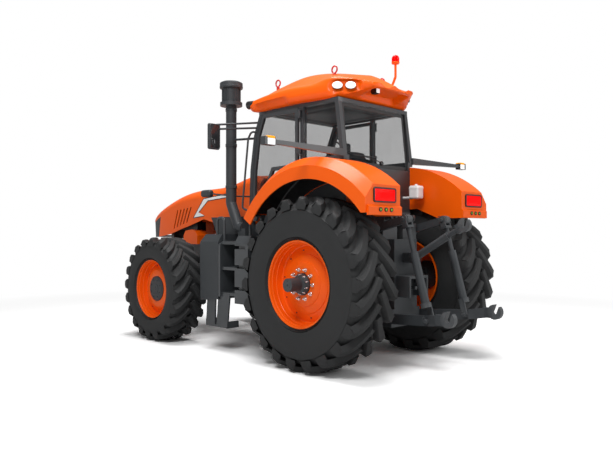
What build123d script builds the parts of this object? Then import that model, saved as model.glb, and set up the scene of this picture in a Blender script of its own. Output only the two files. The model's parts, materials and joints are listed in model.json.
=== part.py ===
"""Farm tractor as separate parts, in millimetres.

Each part is drawn with X forward from the rear axle, Y left and Z up from the ground,
then moved so that the origin lies under the middle of the whole machine.
"""
import os
from math import atan2, cos, degrees, pi, radians, sin, tan

from build123d import *

# Reach of the machine ahead of and behind the rear axle
NOSE_REACH = 4740
WHEELBASE = 3200

# Wheels
REAR_TYRE_RADIUS = 1035
REAR_TYRE_WIDTH = 650
REAR_RIM_RADIUS = 508
FRONT_TYRE_RADIUS = 786
FRONT_TYRE_WIDTH = 540
FRONT_RIM_RADIUS = 440
FRONT_WHEEL_Y = 1145
RIM_WALL = 16
REAR_LUGS = 22
FRONT_LUGS = 20
REAR_LUG_HEIGHT = 58
FRONT_LUG_HEIGHT = 50
FIT_GAP = 0.3

# Axles and steering
REAR_SHAFT_RADIUS = 78
TRUMPET_RADIUS = 150
TRUMPET_END_Y = 690
KINGPIN_Y = 800
KINGPIN_RADIUS = 35
SPINDLE_RADIUS = 90
RUNNING_GAP = 0.05
STEER_ARM = 240
STEER_ROD_RADIUS = 24

# Hood
HOOD_HALF_WIDTH = 490
HOOD_REAR_X = 1700
HOOD_WALL = 14
HOOD_HINGE = (1730, 2415)

# Cab
CAB_HALF_WIDTH = 770
CAB_FLOOR_Z = 1560
CAB_WALL = 40
CAB_REAR_X = -150
CAB_FRONT_X = 1560
B_PILLAR_X = 560
HEADER_Z = 3270
GLASS = 8
DOOR_GAP = 6
HINGE_PIN_RADIUS = 9

# Rear fenders
FENDER_CENTRE_Z = 1106
FENDER_LIP_RADIUS = 1168
FENDER_TOP_RADIUS = 1435
FENDER_WALL = 18
FENDER_REAR_X = -960

# Rear hitch
LINK_PIVOT = (-430, 590)
LINK_PIN = (-1190, 640)
LINK_HOOK = (-1510, 690)
CLAW_RADIUS = 90
LINK_FRONT_Y = 330
LINK_PIN_Y = 415
LINK_HOOK_Y = 500
ARM_PIVOT = (-340, 1670)
ARM_END = (-865, 1800)
ARM_Y = 397
TOP_PIVOT = (-700, 1330)
TOP_HOOK = (-1400, 1730)
HITCH_PIN_RADIUS = 22
PTO_RADIUS = 22.2
DRAWBAR_PIN_RADIUS = 20

# Sizes that follow from the ones above
REAR_WHEEL_Y = CAB_HALF_WIDTH + 280
REAR_SHAFT_END_Y = REAR_WHEEL_Y + 445
CAB_REAR_HALF_WIDTH = CAB_HALF_WIDTH - 70
FENDER_INNER_Y = CAB_HALF_WIDTH - 130
FENDER_OUTER_Y = REAR_WHEEL_Y + 200
SILL_Z = FENDER_CENTRE_Z + FENDER_TOP_RADIUS + 59
ENGINE_FRONT_X = WHEELBASE - 200
FRAME_FRONT_X = NOSE_REACH - 300
HOOD_LENGTH = NOSE_REACH - HOOD_REAR_X
HINGE_STEP = HEADER_Z - SILL_Z - 190
BAY_LENGTH = WHEELBASE - FRONT_TYRE_RADIUS - REAR_TYRE_RADIUS
HOOK_REACH = CLAW_RADIUS - LINK_HOOK[0]
ORIGIN_X = (NOSE_REACH - HOOK_REACH) / 2
parts = {}


def prism(points, axis, start, end):
    """A straight prism: points in the plane across an axis, carried from start to end."""
    place = {
        "x": lambda a, b: (start, a, b),
        "y": lambda a, b: (a, start, b),
        "z": lambda a, b: (a, b, start),
    }[axis]
    along = {"x": (1, 0, 0), "y": (0, 1, 0), "z": (0, 0, 1)}[axis]
    face = make_face(Polyline(*[place(a, b) for a, b in points], close=True))
    return extrude(face, amount=end - start, dir=along)


def block(x0, x1, y0, y1, z0, z1):
    corner = (Align.MIN, Align.MIN, Align.MIN)
    return Pos(x0, y0, z0) * Box(x1 - x0, y1 - y0, z1 - z0, align=corner)


def rod(start, end, radius):
    """A round bar between two points."""
    a, b = Vector(*start), Vector(*end)
    return extrude(Plane(origin=a, z_dir=b - a) * Circle(radius), amount=(b - a).length)


def pipe(points, radius, bend):
    """A bent round bar through the points."""
    path = FilletPolyline(*points, radius=bend)
    return sweep(Plane(origin=path @ 0, z_dir=path % 0) * Circle(radius), path=path)


def turned(profile, x, z):
    """A turned part on a cross axle: profile points are (y, radius)."""
    face = make_face(Polyline(*[(x, y, z + r) for y, r in profile], close=True))
    return revolve(face, Axis((x, 0, z), (0, 1, 0)))


def bar(points, width, axis, start, end):
    """A flat bar of one width that follows points in the plane across an axis."""
    left, right = [], []
    for i, (a, b) in enumerate(points):
        before = Vector(*points[max(i - 1, 0)])
        after = Vector(*points[min(i + 1, len(points) - 1)])
        way = (after - before).normalized()
        left.append((a - way.Y * width / 2, b + way.X * width / 2))
        right.append((a + way.Y * width / 2, b - way.X * width / 2))
    return prism(left + right[::-1], axis, start, end)


def post(points, width, start, end):
    """An upright bar through (x, z) points, of one width along X and with level ends."""
    front = [(x + width / 2, z) for x, z in points]
    rear = [(x - width / 2, z) for x, z in points]
    return prism(front + rear[::-1], "y", start, end)


def mirrored(shape):
    return mirror(shape, about=Plane.XZ)


def pair(shape):
    """The shape and its mirror image on the other side."""
    return Compound(children=[*shape.solids(), *mirrored(shape).solids()])


def sides(name, shape):
    """One part each for the left and the right side."""
    parts[f"{name}_left"] = shape
    parts[f"{name}_right"] = mirrored(shape)


def lug_face(points, z):
    return make_face(Polyline(*[(a, b, z) for a, b in points], close=True))


def tyre(x, y, radius, width, rim_radius, lugs, lug_height):
    """A lugged tyre: a ring of flat sectors with slanted bars on both halves of the tread."""
    half, bead = width / 2, width / 2 - 45
    crown = radius - lug_height
    depth = crown - rim_radius
    profile = [
        (-bead, rim_radius + FIT_GAP),
        (-half, rim_radius + 0.50 * depth),
        (-half * 0.86, crown - 0.06 * depth),
        (half * 0.86, crown - 0.06 * depth),
        (half, rim_radius + 0.50 * depth),
        (bead, rim_radius + FIT_GAP),
    ]
    reach, far = radius * tan(pi / lugs) + 1, 1.2 * radius
    slab = make_face(Polyline(*[(0, a, r) for a, r in profile], close=True))
    wedge = prism([(0, 0), (far * tan(pi / lugs), far), (-far * tan(pi / lugs), far)], "y", -width, width)
    sector = extrude(slab, amount=reach, dir=(1, 0, 0), both=True) & wedge
    ring = Part() + [Rot(0, 360 / lugs * i, 0) * sector for i in range(lugs)]
    lean, top, foot = 0.17 * radius, 0.035 * radius, 0.058 * radius
    outer = half * 0.985
    upper = [(lean + top, 12), (lean - top, 12), (-lean - top, outer), (-lean + top, outer)]
    lower = [(lean + foot, 12), (lean - foot, 12), (-lean - foot, outer), (-lean + foot, outer)]
    flat = (radius ** 2 - (lean + top) ** 2) ** 0.5
    lug = loft([lug_face(lower, crown - 0.25 * depth), lug_face(upper, flat)], ruled=True)
    other = Rot(0, 180 / lugs, 0) * mirrored(lug)
    bars = [Rot(0, 360 / lugs * i, 0) * b for i in range(lugs) for b in (lug, other)]
    drop = Rot(0, -degrees(atan2(lean + top, flat)) - 180, 0)
    return Pos(x, y, radius) * drop * (ring + bars)


def rim(x, y, z, radius, width, hub_radius, hub_out, dish_in):
    """A dished rim: hub_out and dish_in are the disc's places out from the wheel's middle."""
    half, inner = width / 2, radius - RIM_WALL
    profile = [
        (-half, radius),
        (half, radius),
        (half, inner),
        (dish_in + RIM_WALL, inner - 20),
        (hub_out, hub_radius + 90),
        (hub_out, hub_radius),
        (hub_out - RIM_WALL, hub_radius),
        (hub_out - RIM_WALL, hub_radius + 80),
        (dish_in, inner - 30),
        (dish_in - 40, inner - 20),
        (-half, inner),
    ]
    return turned([(y + a, r) for a, r in profile], x, z)


def rear_wheels():
    rubber = tyre(
        0, REAR_WHEEL_Y, REAR_TYRE_RADIUS, REAR_TYRE_WIDTH, REAR_RIM_RADIUS, REAR_LUGS, REAR_LUG_HEIGHT
    )
    sides("rear_tyre", rubber)
    hub_out, hub_radius = 205, 130
    wheel_rim = rim(
        0, REAR_WHEEL_Y, REAR_TYRE_RADIUS, REAR_RIM_RADIUS, 584, hub_radius, hub_out, 90
    )
    sides("rear_rim", wheel_rim)
    face = REAR_WHEEL_Y + hub_out
    hub = turned(
        [
            (TRUMPET_END_Y - 260, 0),
            (TRUMPET_END_Y - 260, REAR_SHAFT_RADIUS),
            (face - 130, REAR_SHAFT_RADIUS),
            (face - 120, 120),
            (face - 40, 203),
            (face - RIM_WALL - FIT_GAP, 203),
            (face - RIM_WALL - FIT_GAP, hub_radius - FIT_GAP),
            (face + 20, hub_radius - FIT_GAP),
            (face + 60, 105),
            (face + 75, REAR_SHAFT_RADIUS),
            (REAR_SHAFT_END_Y, REAR_SHAFT_RADIUS),
            (REAR_SHAFT_END_Y, 0),
        ],
        0,
        REAR_TYRE_RADIUS,
    )
    sides("rear_hub", hub)


def front_wheels():
    x, z = WHEELBASE, FRONT_TYRE_RADIUS
    rubber = tyre(x, FRONT_WHEEL_Y, z, FRONT_TYRE_WIDTH, FRONT_RIM_RADIUS, FRONT_LUGS, FRONT_LUG_HEIGHT)
    sides("front_tyre", rubber)
    hub_out, hub_radius = 130, 190
    wheel_rim = rim(x, FRONT_WHEEL_Y, z, FRONT_RIM_RADIUS, 457, hub_radius, hub_out, 40)
    sides("front_rim", wheel_rim)
    face = FRONT_WHEEL_Y + hub_out
    bore = SPINDLE_RADIUS + RUNNING_GAP
    hub = turned(
        [
            (1045, bore),
            (1045, 170),
            (face - RIM_WALL - FIT_GAP, 235),
            (face - FIT_GAP - RIM_WALL, hub_radius - FIT_GAP),
            (face + 10, hub_radius - FIT_GAP),
            (face + 25, 160),
            (face + 25, 0),
            (1205, 0),
            (1205, bore),
        ],
        x,
        z,
    )
    sides("front_hub", hub)


def rear_axle():
    z = REAR_TYRE_RADIUS
    middle = prism(
        [(-420, z - 380), (420, z - 420), (420, z + 430), (200, z + 525), (-300, z + 525), (-420, z + 400)],
        "y", -290, 290,
    )
    flange = rod((0, 280, z), (0, 330, z), 230)
    trumpet = rod((0, 280, z), (0, TRUMPET_END_Y, z), TRUMPET_RADIUS)
    bore = rod((0, TRUMPET_END_Y - 262, z), (0, TRUMPET_END_Y + 1, z), REAR_SHAFT_RADIUS + RUNNING_GAP)
    side = flange + trumpet - bore
    tongue = block(180, 320, -70, 70, 570, z - 400)
    parts["rear_axle_housing"] = middle + tongue + side + mirrored(side)


def driveline():
    z = REAR_TYRE_RADIUS
    parts["gearbox_housing"] = prism(
        [(420, z - 420), (1850, z - 330), (1850, z + 400), (420, z + 430)], "y", -260, 260
    )
    parts["engine_block"] = prism(
        [(-290, z - 130), (290, z - 130), (290, z + 800), (180, z + 1000), (-180, z + 1000), (-290, z + 800)],
        "x", 1850, ENGINE_FRONT_X,
    )
    frame = prism(
        [(ENGINE_FRONT_X, z - 80), (FRAME_FRONT_X - 60, z + 60), (FRAME_FRONT_X, z + 60), (FRAME_FRONT_X, z + 500),
         (ENGINE_FRONT_X, z + 500)],
        "y", -260, 260,
    )
    pivot = block(WHEELBASE - 160, WHEELBASE + 160, -110, 110, FRONT_TYRE_RADIUS + 95, z)
    plate = block(FRAME_FRONT_X, FRAME_FRONT_X + 50, -260, 260, z + 60, z + 440)
    for y in (-200, 200):
        for up in (110, 390):
            plate -= rod((FRAME_FRONT_X - 40, y, z + up), (FRAME_FRONT_X + 60, y, z + up), 13)
    parts["front_frame"] = frame + pivot + plate - parts["front_axle_beam"]
    shaft = rod((1840, 0, z - 280), (WHEELBASE - 230, 0, FRONT_TYRE_RADIUS), 42)
    parts["drive_shaft"] = shaft - parts["gearbox_housing"] - parts["front_axle_beam"]
    guard = prism(
        [(WHEELBASE + a, z + b) for a, b in
         ((100, 420), (100, 560), (160, 640), (280, 660), (440, 640), (500, 560), (500, 420))],
        "y", 260, 470,
    )
    parts["front_guards"] = pair(guard)


def front_axle():
    x, z = WHEELBASE, FRONT_TYRE_RADIUS
    casing = turned(
        [(-260, 0), (-260, 100), (-150, 185), (150, 185), (260, 100), (260, 0)], x, z
    )
    arm = prism([(200, z - 100), (KINGPIN_Y, z - 85), (KINGPIN_Y, z + 85), (200, z + 100)], "x", x - 80, x + 80)
    boss = rod((x, KINGPIN_Y, z - 108), (x, KINGPIN_Y, z + 108), 82)
    bore = rod((x, KINGPIN_Y, z - 120), (x, KINGPIN_Y, z + 120), KINGPIN_RADIUS + RUNNING_GAP)
    side = arm + boss - bore
    nose = rod((x - 236, 0, z), (x - 150, 0, z), 95)
    beam = casing + nose + side + mirrored(side)
    rod_x, barrel_z = x + STEER_ARM, z - 80
    cradle = block(x + 70, rod_x, 220, 320, z - 125, z - 20)
    beam += cradle + mirrored(cradle)
    barrel = rod((rod_x, -330, barrel_z), (rod_x, 330, barrel_z), 48)
    parts["front_axle_beam"] = beam - barrel
    knuckle = block(x - 100, x + 100, KINGPIN_Y - 95, KINGPIN_Y + 180, z + 114, z + 165)
    knuckle += block(x - 100, x + 100, KINGPIN_Y - 95, KINGPIN_Y + 180, z - 165, z - 114)
    knuckle += block(x - 110, x + 110, KINGPIN_Y + 95, KINGPIN_Y + 190, z - 165, z + 165)
    knuckle += rod((x, KINGPIN_Y, z - 165), (x, KINGPIN_Y, z + 165), KINGPIN_RADIUS)
    knuckle += rod((x, KINGPIN_Y + 180, z), (x, 1035, z), 160)
    knuckle += rod((x, 1030, z), (x, 1200, z), SPINDLE_RADIUS)
    knuckle += block(x, rod_x + 40, KINGPIN_Y - 40, KINGPIN_Y + 40, z - 165, z - 125)
    sides("knuckle", knuckle)
    barrel -= rod((rod_x, -331, barrel_z), (rod_x, 331, barrel_z), STEER_ROD_RADIUS + RUNNING_GAP)
    parts["steering_cylinder"] = barrel
    slider = rod((rod_x, -KINGPIN_Y + 120, barrel_z), (rod_x, KINGPIN_Y - 120, barrel_z), STEER_ROD_RADIUS)
    eye = block(rod_x - 30, rod_x + 30, KINGPIN_Y - 180, KINGPIN_Y + 25, z - 116, z - 70)
    parts["steering_rod"] = slider + eye + mirrored(eye)


def hood_section(x, half, top, inset=0.0):
    """The hood's section at one place along it, open corner radius on both shoulders."""
    w, t, base = half - inset, top - inset, 1480
    shoulder, drop = 0.36 * half, 150
    turn = (w - 0.10 * half, t - 0.24 * drop)
    with BuildSketch(Plane.YZ.offset(x)) as section:
        with BuildLine():
            Polyline((-w, t - drop), (-w, base), (w, base), (w, t - drop))
            ThreePointArc((w, t - drop), turn, (w - shoulder, t))
            ThreePointArc((w - shoulder, t), (0, t + 24), (shoulder - w, t))
            ThreePointArc((shoulder - w, t), (-turn[0], turn[1]), (-w, t - drop))
        make_face()
    return section.sketch


def along_hood(share):
    return HOOD_REAR_X + share * HOOD_LENGTH


def hood():
    w = HOOD_HALF_WIDTH
    stations = [
        (0, w - 10, 2440), (0.197, w - 5, 2415), (0.461, w, 2340), (0.658, w, 2285), (0.789, w - 8, 2185),
        (0.905, w - 35, 2075), (1, w - 100, 1965),
    ]
    outer = loft([hood_section(along_hood(share), half, top) for share, half, top in stations])
    inner = loft([
        hood_section(along_hood(share) - (60 if share == 1 else 0), half, top, HOOD_WALL)
        for share, half, top in stations
    ])
    edge = [(0.174, 1710), (0.329, 1775), (0.457, 1860), (0.579, 1765), (0.678, 1700), (0.780, 1620), (0.908, 1576)]
    under = prism(
        [(HOOD_REAR_X - 20, 1400), (HOOD_REAR_X - 20, 1730), *[(along_hood(a), z) for a, z in edge],
         (NOSE_REACH + 60, 1560), (NOSE_REACH + 60, 1400)],
        "y", -700, 700,
    )
    n = NOSE_REACH
    lean = prism([(n - 70, 1500), (n - 14, 1850), (n - 14, 1870), (n + 160, 1870), (n + 160, 1500)], "y", -700, 700)
    mouth = [(n - 300, 1925), (n - 30, 1838), (n + 100, 1838), (n + 100, 1400), (n - 190, 1400)]
    nose = prism(mouth, "y", -700, 700)
    shell = outer - inner - under - nose
    for i in range(5):
        low, high = along_hood(0.746 - 0.032 * i), along_hood(0.707 - 0.033 * i)
        foot, head = 1712 + 25 * i, 2022 + 10.5 * i
        slot = prism([(low - 17, foot), (low + 17, foot), (high + 17, head), (high - 17, head)], "y", w - 90, w + 30)
        shell -= slot
        shell -= mirrored(slot)
    x, z = HOOD_HINGE
    eye = rod((x, 160, z), (x, 220, z), 24) + block(x - 22, x + 22, 160, 220, z, z + 35)
    eye -= rod((x, 150, z), (x, 230, z), HINGE_PIN_RADIUS + RUNNING_GAP)
    parts["hood"] = shell + eye + mirrored(eye)
    strut = bar([(1900, REAR_TYRE_RADIUS + 1000), (1880, z - 150), HOOD_HINGE], 40, "y", 120, 150)
    strut += rod((x, 120, z), (x, 225, z), HINGE_PIN_RADIUS)
    strut -= parts["engine_block"]
    cross = rod((1882, -140, z - 160), (1882, 140, z - 160), 15)
    parts["hood_hinges"] = strut + mirrored(strut) + cross
    hollow = prism([(n - 310, 1890), (n - 110, 1825), (n - 120, 1500), (n - 240, 1500)], "y", 130 - w, w - 130)
    face = (outer & nose) - under - lean - hollow
    for i in range(6):
        face -= block(n - 130, n + 50, -260, 260, 1600 + 36 * i, 1618 + 36 * i)
    parts["grille"] = face


def arc_points(radius, z, start, end, steps):
    """Points on an arc about the rear wheel arch's centre, angles up from straight ahead."""
    turns = [radians(start + (end - start) * i / steps) for i in range(steps + 1)]
    return [(radius * cos(a), z + radius * sin(a)) for a in turns]


def fender_face(lip, top, rear_x, y):
    """The side outline of a fender: round top, upright rear end and the arch cut below."""
    z = FENDER_CENTRE_Z
    start, finish = arc_points(top, z, 33, 132, 2)[0], arc_points(top, z, 33, 132, 2)[2]
    middle = arc_points(top, z, 33, 132, 2)[1]
    near, far = arc_points(lip, z, 33, 140, 2)[0], arc_points(lip, z, 33, 140, 2)[2]
    under = arc_points(lip, z, 33, 140, 2)[1]
    place = [(a, y, b) for a, b in (start, middle, finish, near, far, under)]
    edges = [
        ThreePointArc(place[0], place[1], place[2]),
        Polyline(place[2], (rear_x, y, finish[1] - 20), (rear_x, y, far[1]), place[4]),
        ThreePointArc(place[4], place[5], place[3]),
        Line(place[3], place[0]),
    ]
    return make_face(edges)


def fenders():
    wall, y0, y1 = FENDER_WALL, FENDER_INNER_Y, FENDER_OUTER_Y
    rear, out = FENDER_REAR_X, (0, 1, 0)
    solid = extrude(fender_face(FENDER_LIP_RADIUS, FENDER_TOP_RADIUS, rear, y0), y1 - y0, dir=out)
    z = FENDER_CENTRE_Z
    bevel = make_face(Polyline(
        (0, y1 - 130, z + FENDER_TOP_RADIUS + 1), (0, y1 + 1, z + FENDER_TOP_RADIUS + 1),
        (0, y1 + 1, z + FENDER_TOP_RADIUS - 110), close=True))
    solid -= revolve(bevel, Axis((0, 0, z), (0, 1, 0)))
    hollow = extrude(
        fender_face(FENDER_LIP_RADIUS - 60, FENDER_TOP_RADIUS - wall, rear + wall, y0 + wall),
        y1 - y0 - 2 * wall, dir=out,
    )
    groove = make_face(Polyline(
        (0, y1 - wall - 130, z + FENDER_TOP_RADIUS), (0, y1, z + FENDER_TOP_RADIUS),
        (0, y1, z + FENDER_TOP_RADIUS - wall - 118), close=True))
    hollow -= revolve(groove, Axis((0, 0, z), (0, 1, 0)))
    fender = solid - hollow
    foot = arc_points(FENDER_LIP_RADIUS, z, 33, 140, 2)[2][1]
    skirt = prism(
        [(CAB_REAR_X, foot + 105), (-260, foot + 110), (-610, foot - 27), (rear, foot - 27), (rear, foot + 200),
         (CAB_REAR_X, foot + 500)],
        "y", y0, y0 + wall,
    )
    shelf = prism([(rear - 26, foot - 22), (rear + 2, foot - 27), (rear + 2, foot + 92), (rear - 26, foot + 68)], "y", y0, y1 - 30)
    fender = fender + skirt + shelf
    lamp = (rear, (y0 + y1) / 2 - 25, z + FENDER_TOP_RADIUS * sin(radians(132)) - 117)
    fender -= block(lamp[0] - 5, lamp[0] + wall + 5, lamp[1] - 180, lamp[1] + 180, lamp[2] - 66, lamp[2] + 66)
    sides("rear_fender", fender)
    lens = block(lamp[0] - 6, lamp[0] + wall, lamp[1] - 180, lamp[1] + 180, lamp[2] - 66, lamp[2] + 66)
    parts["tail_lamps"] = pair(lens)


def cab_base():
    floor, w = CAB_FLOOR_Z, FENDER_INNER_Y - CAB_WALL
    tub = prism(
        [(CAB_REAR_X, -w), (1080, -w), (1180, -CAB_HALF_WIDTH), (CAB_FRONT_X, -CAB_HALF_WIDTH),
         (CAB_FRONT_X, CAB_HALF_WIDTH), (1180, CAB_HALF_WIDTH), (1080, w), (CAB_REAR_X, w)],
        "z", floor, floor + 40,
    )
    back = block(CAB_REAR_X, CAB_REAR_X + CAB_WALL, -w, w, floor, SILL_Z - 120)
    front = block(CAB_FRONT_X - CAB_WALL, CAB_FRONT_X, -w, w, floor, 2230)
    wall = prism(
        [(CAB_REAR_X, floor), (1430, floor), (1430, 1790), (1070, SILL_Z - 135), (B_PILLAR_X + 35, SILL_Z - 125),
         (B_PILLAR_X + 35, SILL_Z), (CAB_REAR_X, SILL_Z)],
        "y", w, FENDER_INNER_Y,
    )
    sill = block(CAB_REAR_X, B_PILLAR_X + 35, w, CAB_REAR_HALF_WIDTH, SILL_Z - 55, SILL_Z)
    side = wall + sill
    parts["cab_base"] = tub + back + front + side + mirrored(side)


A_LINE = [(1545, 1600), (1555, 2000), (1530, 2520), (1450, 3000), (1335, HEADER_Z)]
C_LINE = [(-120, SILL_Z), (-30, HEADER_Z)]


def cab_frame():
    w, wr = CAB_HALF_WIDTH, CAB_REAR_HALF_WIDTH
    a_pillar = post(A_LINE, 60, w - 60, w)
    b_pillar = prism(
        [(B_PILLAR_X - 30, w - 105), (B_PILLAR_X + 30, w - 90), (B_PILLAR_X + 30, w - 40), (B_PILLAR_X - 30, w - 40)],
        "z", SILL_Z, HEADER_Z,
    )
    c_pillar = post(C_LINE, 60, wr - 60, wr)
    header = prism(
        [(-60, 0), (-60, wr), (B_PILLAR_X - 30, w - 40), (B_PILLAR_X + 30, w - 40), (1310, w - 40), (1370, w),
         (1370, 0), (1310, 0), (1310, w - 110), (B_PILLAR_X, w - 110), (0, wr - 70), (0, 0)],
        "z", HEADER_Z, HEADER_Z + 50,
    )
    low = SILL_Z + 40
    lug = block(B_PILLAR_X - 16, B_PILLAR_X + 16, w - 45, w + 16, low, low + 18)
    hinge = lug + Pos(0, 0, 102) * lug
    hinge += rod((B_PILLAR_X, w, low), (B_PILLAR_X, w, low + 120), HINGE_PIN_RADIUS)
    side = a_pillar + b_pillar + c_pillar + header + hinge + Pos(0, 0, HINGE_STEP) * hinge
    parts["cab_frame"] = side + mirrored(side)


def roof_section(x, half, low, top):
    lip = min(70, 0.4 * (top - low))
    with BuildSketch(Plane.YZ.offset(x)) as section:
        with BuildLine():
            Polyline((-half, low + lip), (-half + 50, low), (half - 50, low), (half, low + lip))
            ThreePointArc((half, low + lip), (half * 0.86, low + 0.72 * (top - low)), (half * 0.55, top - 22))
            ThreePointArc((half * 0.55, top - 22), (0, top), (-half * 0.55, top - 22))
            ThreePointArc((-half * 0.55, top - 22), (-half * 0.86, low + 0.72 * (top - low)), (-half, low + lip))
        make_face()
    return section.sketch


def roof():
    low = HEADER_Z + 50
    stations = [
        (-380, 560, 3440, 3520), (-150, 720, 3370, 3640), (50, 790, low, 3720), (630, 850, low, 3815),
        (1100, 870, low, 3790), (1450, 850, low, 3700), (1600, 780, 3380, 3540),
    ]
    shell = loft([roof_section(*s) for s in stations])
    shell -= block(-70, 1400, -1000, 1000, 3000, low)
    scoop = Pos(-150, 690, 3462) * Rot(0, 0, 135) * Box(260, 560, 150, align=(Align.MIN, Align.CENTER, Align.CENTER))
    scoop = Pos(70, -70, 0) * scoop
    groove = block(720, 1400, 800, 1000, low - 40, low + 72)
    shell = shell - scoop - mirrored(scoop) - groove - mirrored(groove)
    front = rod((1400, 790, 3430), (1560, 790, 3430), 55)
    lamps = front
    for place in (-82, 82):
        lamp = Pos(-80, 620, 3458) * Rot(0, 0, 135) * Pos(0, place, 0) * Rot(0, 90, 0) * Cylinder(62, 90)
        lamps += lamp
    shell = shell + lamps + mirrored(lamps)
    parts["cab_roof"] = shell
    eye = Pos(1300, 480, 3745) * Rot(90, 0, 0) * Torus(45, 11) - shell
    back = Pos(210, 480, 3740) * Rot(90, 0, 0) * Torus(45, 11) - shell
    parts["lifting_eyes"] = pair(Compound(children=[*eye.solids(), *back.solids()]))
    stalk = pipe([(60, -450, 3560), (-30, -480, 3760), (-30, -480, 3960)], 16, 60) - shell
    parts["beacon_stalk"] = max(stalk.solids(), key=lambda s: s.volume)
    dome = rod((-30, -480, 3960), (-30, -480, 4015), 52)
    dome += Pos(-30, -480, 4015) * Sphere(52)
    parts["beacon"] = dome - block(-200, 200, -700, -300, 3800, 3960)


def windows():
    w, wr = CAB_HALF_WIDTH, CAB_REAR_HALF_WIDTH
    upper = [(1551, 2240), (1530, 2520), (1450, 3000), (1338, HEADER_Z - 2)]
    screen = bar(upper, GLASS, "y", -w + 62, w - 62)
    back = bar([(-118, SILL_Z - 118), (-32, HEADER_Z - 2)], GLASS, "y", -wr + 62, wr - 62)
    corners = [(-85, wr - 22), (B_PILLAR_X - 34, w - 62), (B_PILLAR_X - 34, w - 62 - GLASS), (-85, wr - 22 - GLASS)]
    quarter = prism(corners, "z", SILL_Z, HEADER_Z)
    cut = prism(
        [(-300, SILL_Z), (-84, SILL_Z), (6, HEADER_Z), (-300, HEADER_Z)], "y", 0, 1000
    )
    quarter -= cut
    panes = [pane - parts["cab_base"] - parts["cab_frame"] for pane in (screen, back, quarter, mirrored(quarter))]
    parts["fixed_windows"] = Compound(children=[max(pane.solids(), key=lambda t: t.volume) for pane in panes])


def doors():
    w = CAB_HALF_WIDTH
    inner_x = [(x - 36, z) for x, z in A_LINE]
    outline = [
        (B_PILLAR_X + 36, HEADER_Z - DOOR_GAP), (B_PILLAR_X + 36, SILL_Z - 110), (1080, SILL_Z - 120), (1440, 1800),
        (1512, 1800), (inner_x[1][0], 2000), (inner_x[2][0], 2520), (inner_x[3][0], 3000),
        (inner_x[4][0], HEADER_Z - DOOR_GAP),
    ]
    leaf = prism(outline, "y", w - 38, w)
    hole = offset(make_face(Polyline(*[(x, w - 50, z) for x, z in outline], close=True)), -48, kind=Kind.INTERSECTION)
    opening = extrude(hole, 80, dir=(0, 1, 0))
    frame = leaf - opening
    low = SILL_Z + 60
    knuckles = rod((B_PILLAR_X, w, low), (B_PILLAR_X, w, low + 80), 16)
    knuckles += block(B_PILLAR_X, B_PILLAR_X + 60, w - 12, w + 10, low + 5, low + 75)
    knuckles -= rod((B_PILLAR_X, w, low - 60), (B_PILLAR_X, w, low + 140), HINGE_PIN_RADIUS + RUNNING_GAP)
    upper = Pos(0, 0, HINGE_STEP) * knuckles
    sides("door", frame + knuckles + upper)
    pane = leaf & opening & block(0, 3000, w - 24, w - 24 + GLASS, 1000, 4000)
    sides("door_glass", pane)


def cab_inside():
    floor = CAB_FLOOR_Z + 40
    seat = block(430, 830, -200, 200, floor, floor + 330)
    cushion = fillet(block(360, 880, -260, 260, floor + 330, floor + 470).edges(), 40)
    back = fillet(
        prism([(300, floor + 420), (430, floor + 420), (330, floor + 1130), (200, floor + 1130)], "y", -250, 250).edges(),
        40,
    )
    parts["seat"] = seat + cushion + back
    column = prism(
        [(1330, floor), (1500, floor), (1500, 2250), (1400, 2330), (1250, 2260), (1300, 2000)], "y", -170, 170
    )
    wheel = Pos(1190, 0, 2350) * Rot(0, -60, 0) * Torus(200, 16)
    hub = rod((1290, 0, 2290), (1180, 0, 2354), 30)
    spoke = Pos(1190, 0, 2350) * Rot(0, -60, 0) * (Box(24, 400, 14) + Box(400, 24, 14))
    parts["steering_console"] = column + hub + spoke + wheel


def bay(reach):
    """A place between the wheels, reach in front of the rear tyre in a bay 1379 long."""
    return REAR_TYRE_RADIUS + reach * BAY_LENGTH / 1379


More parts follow.
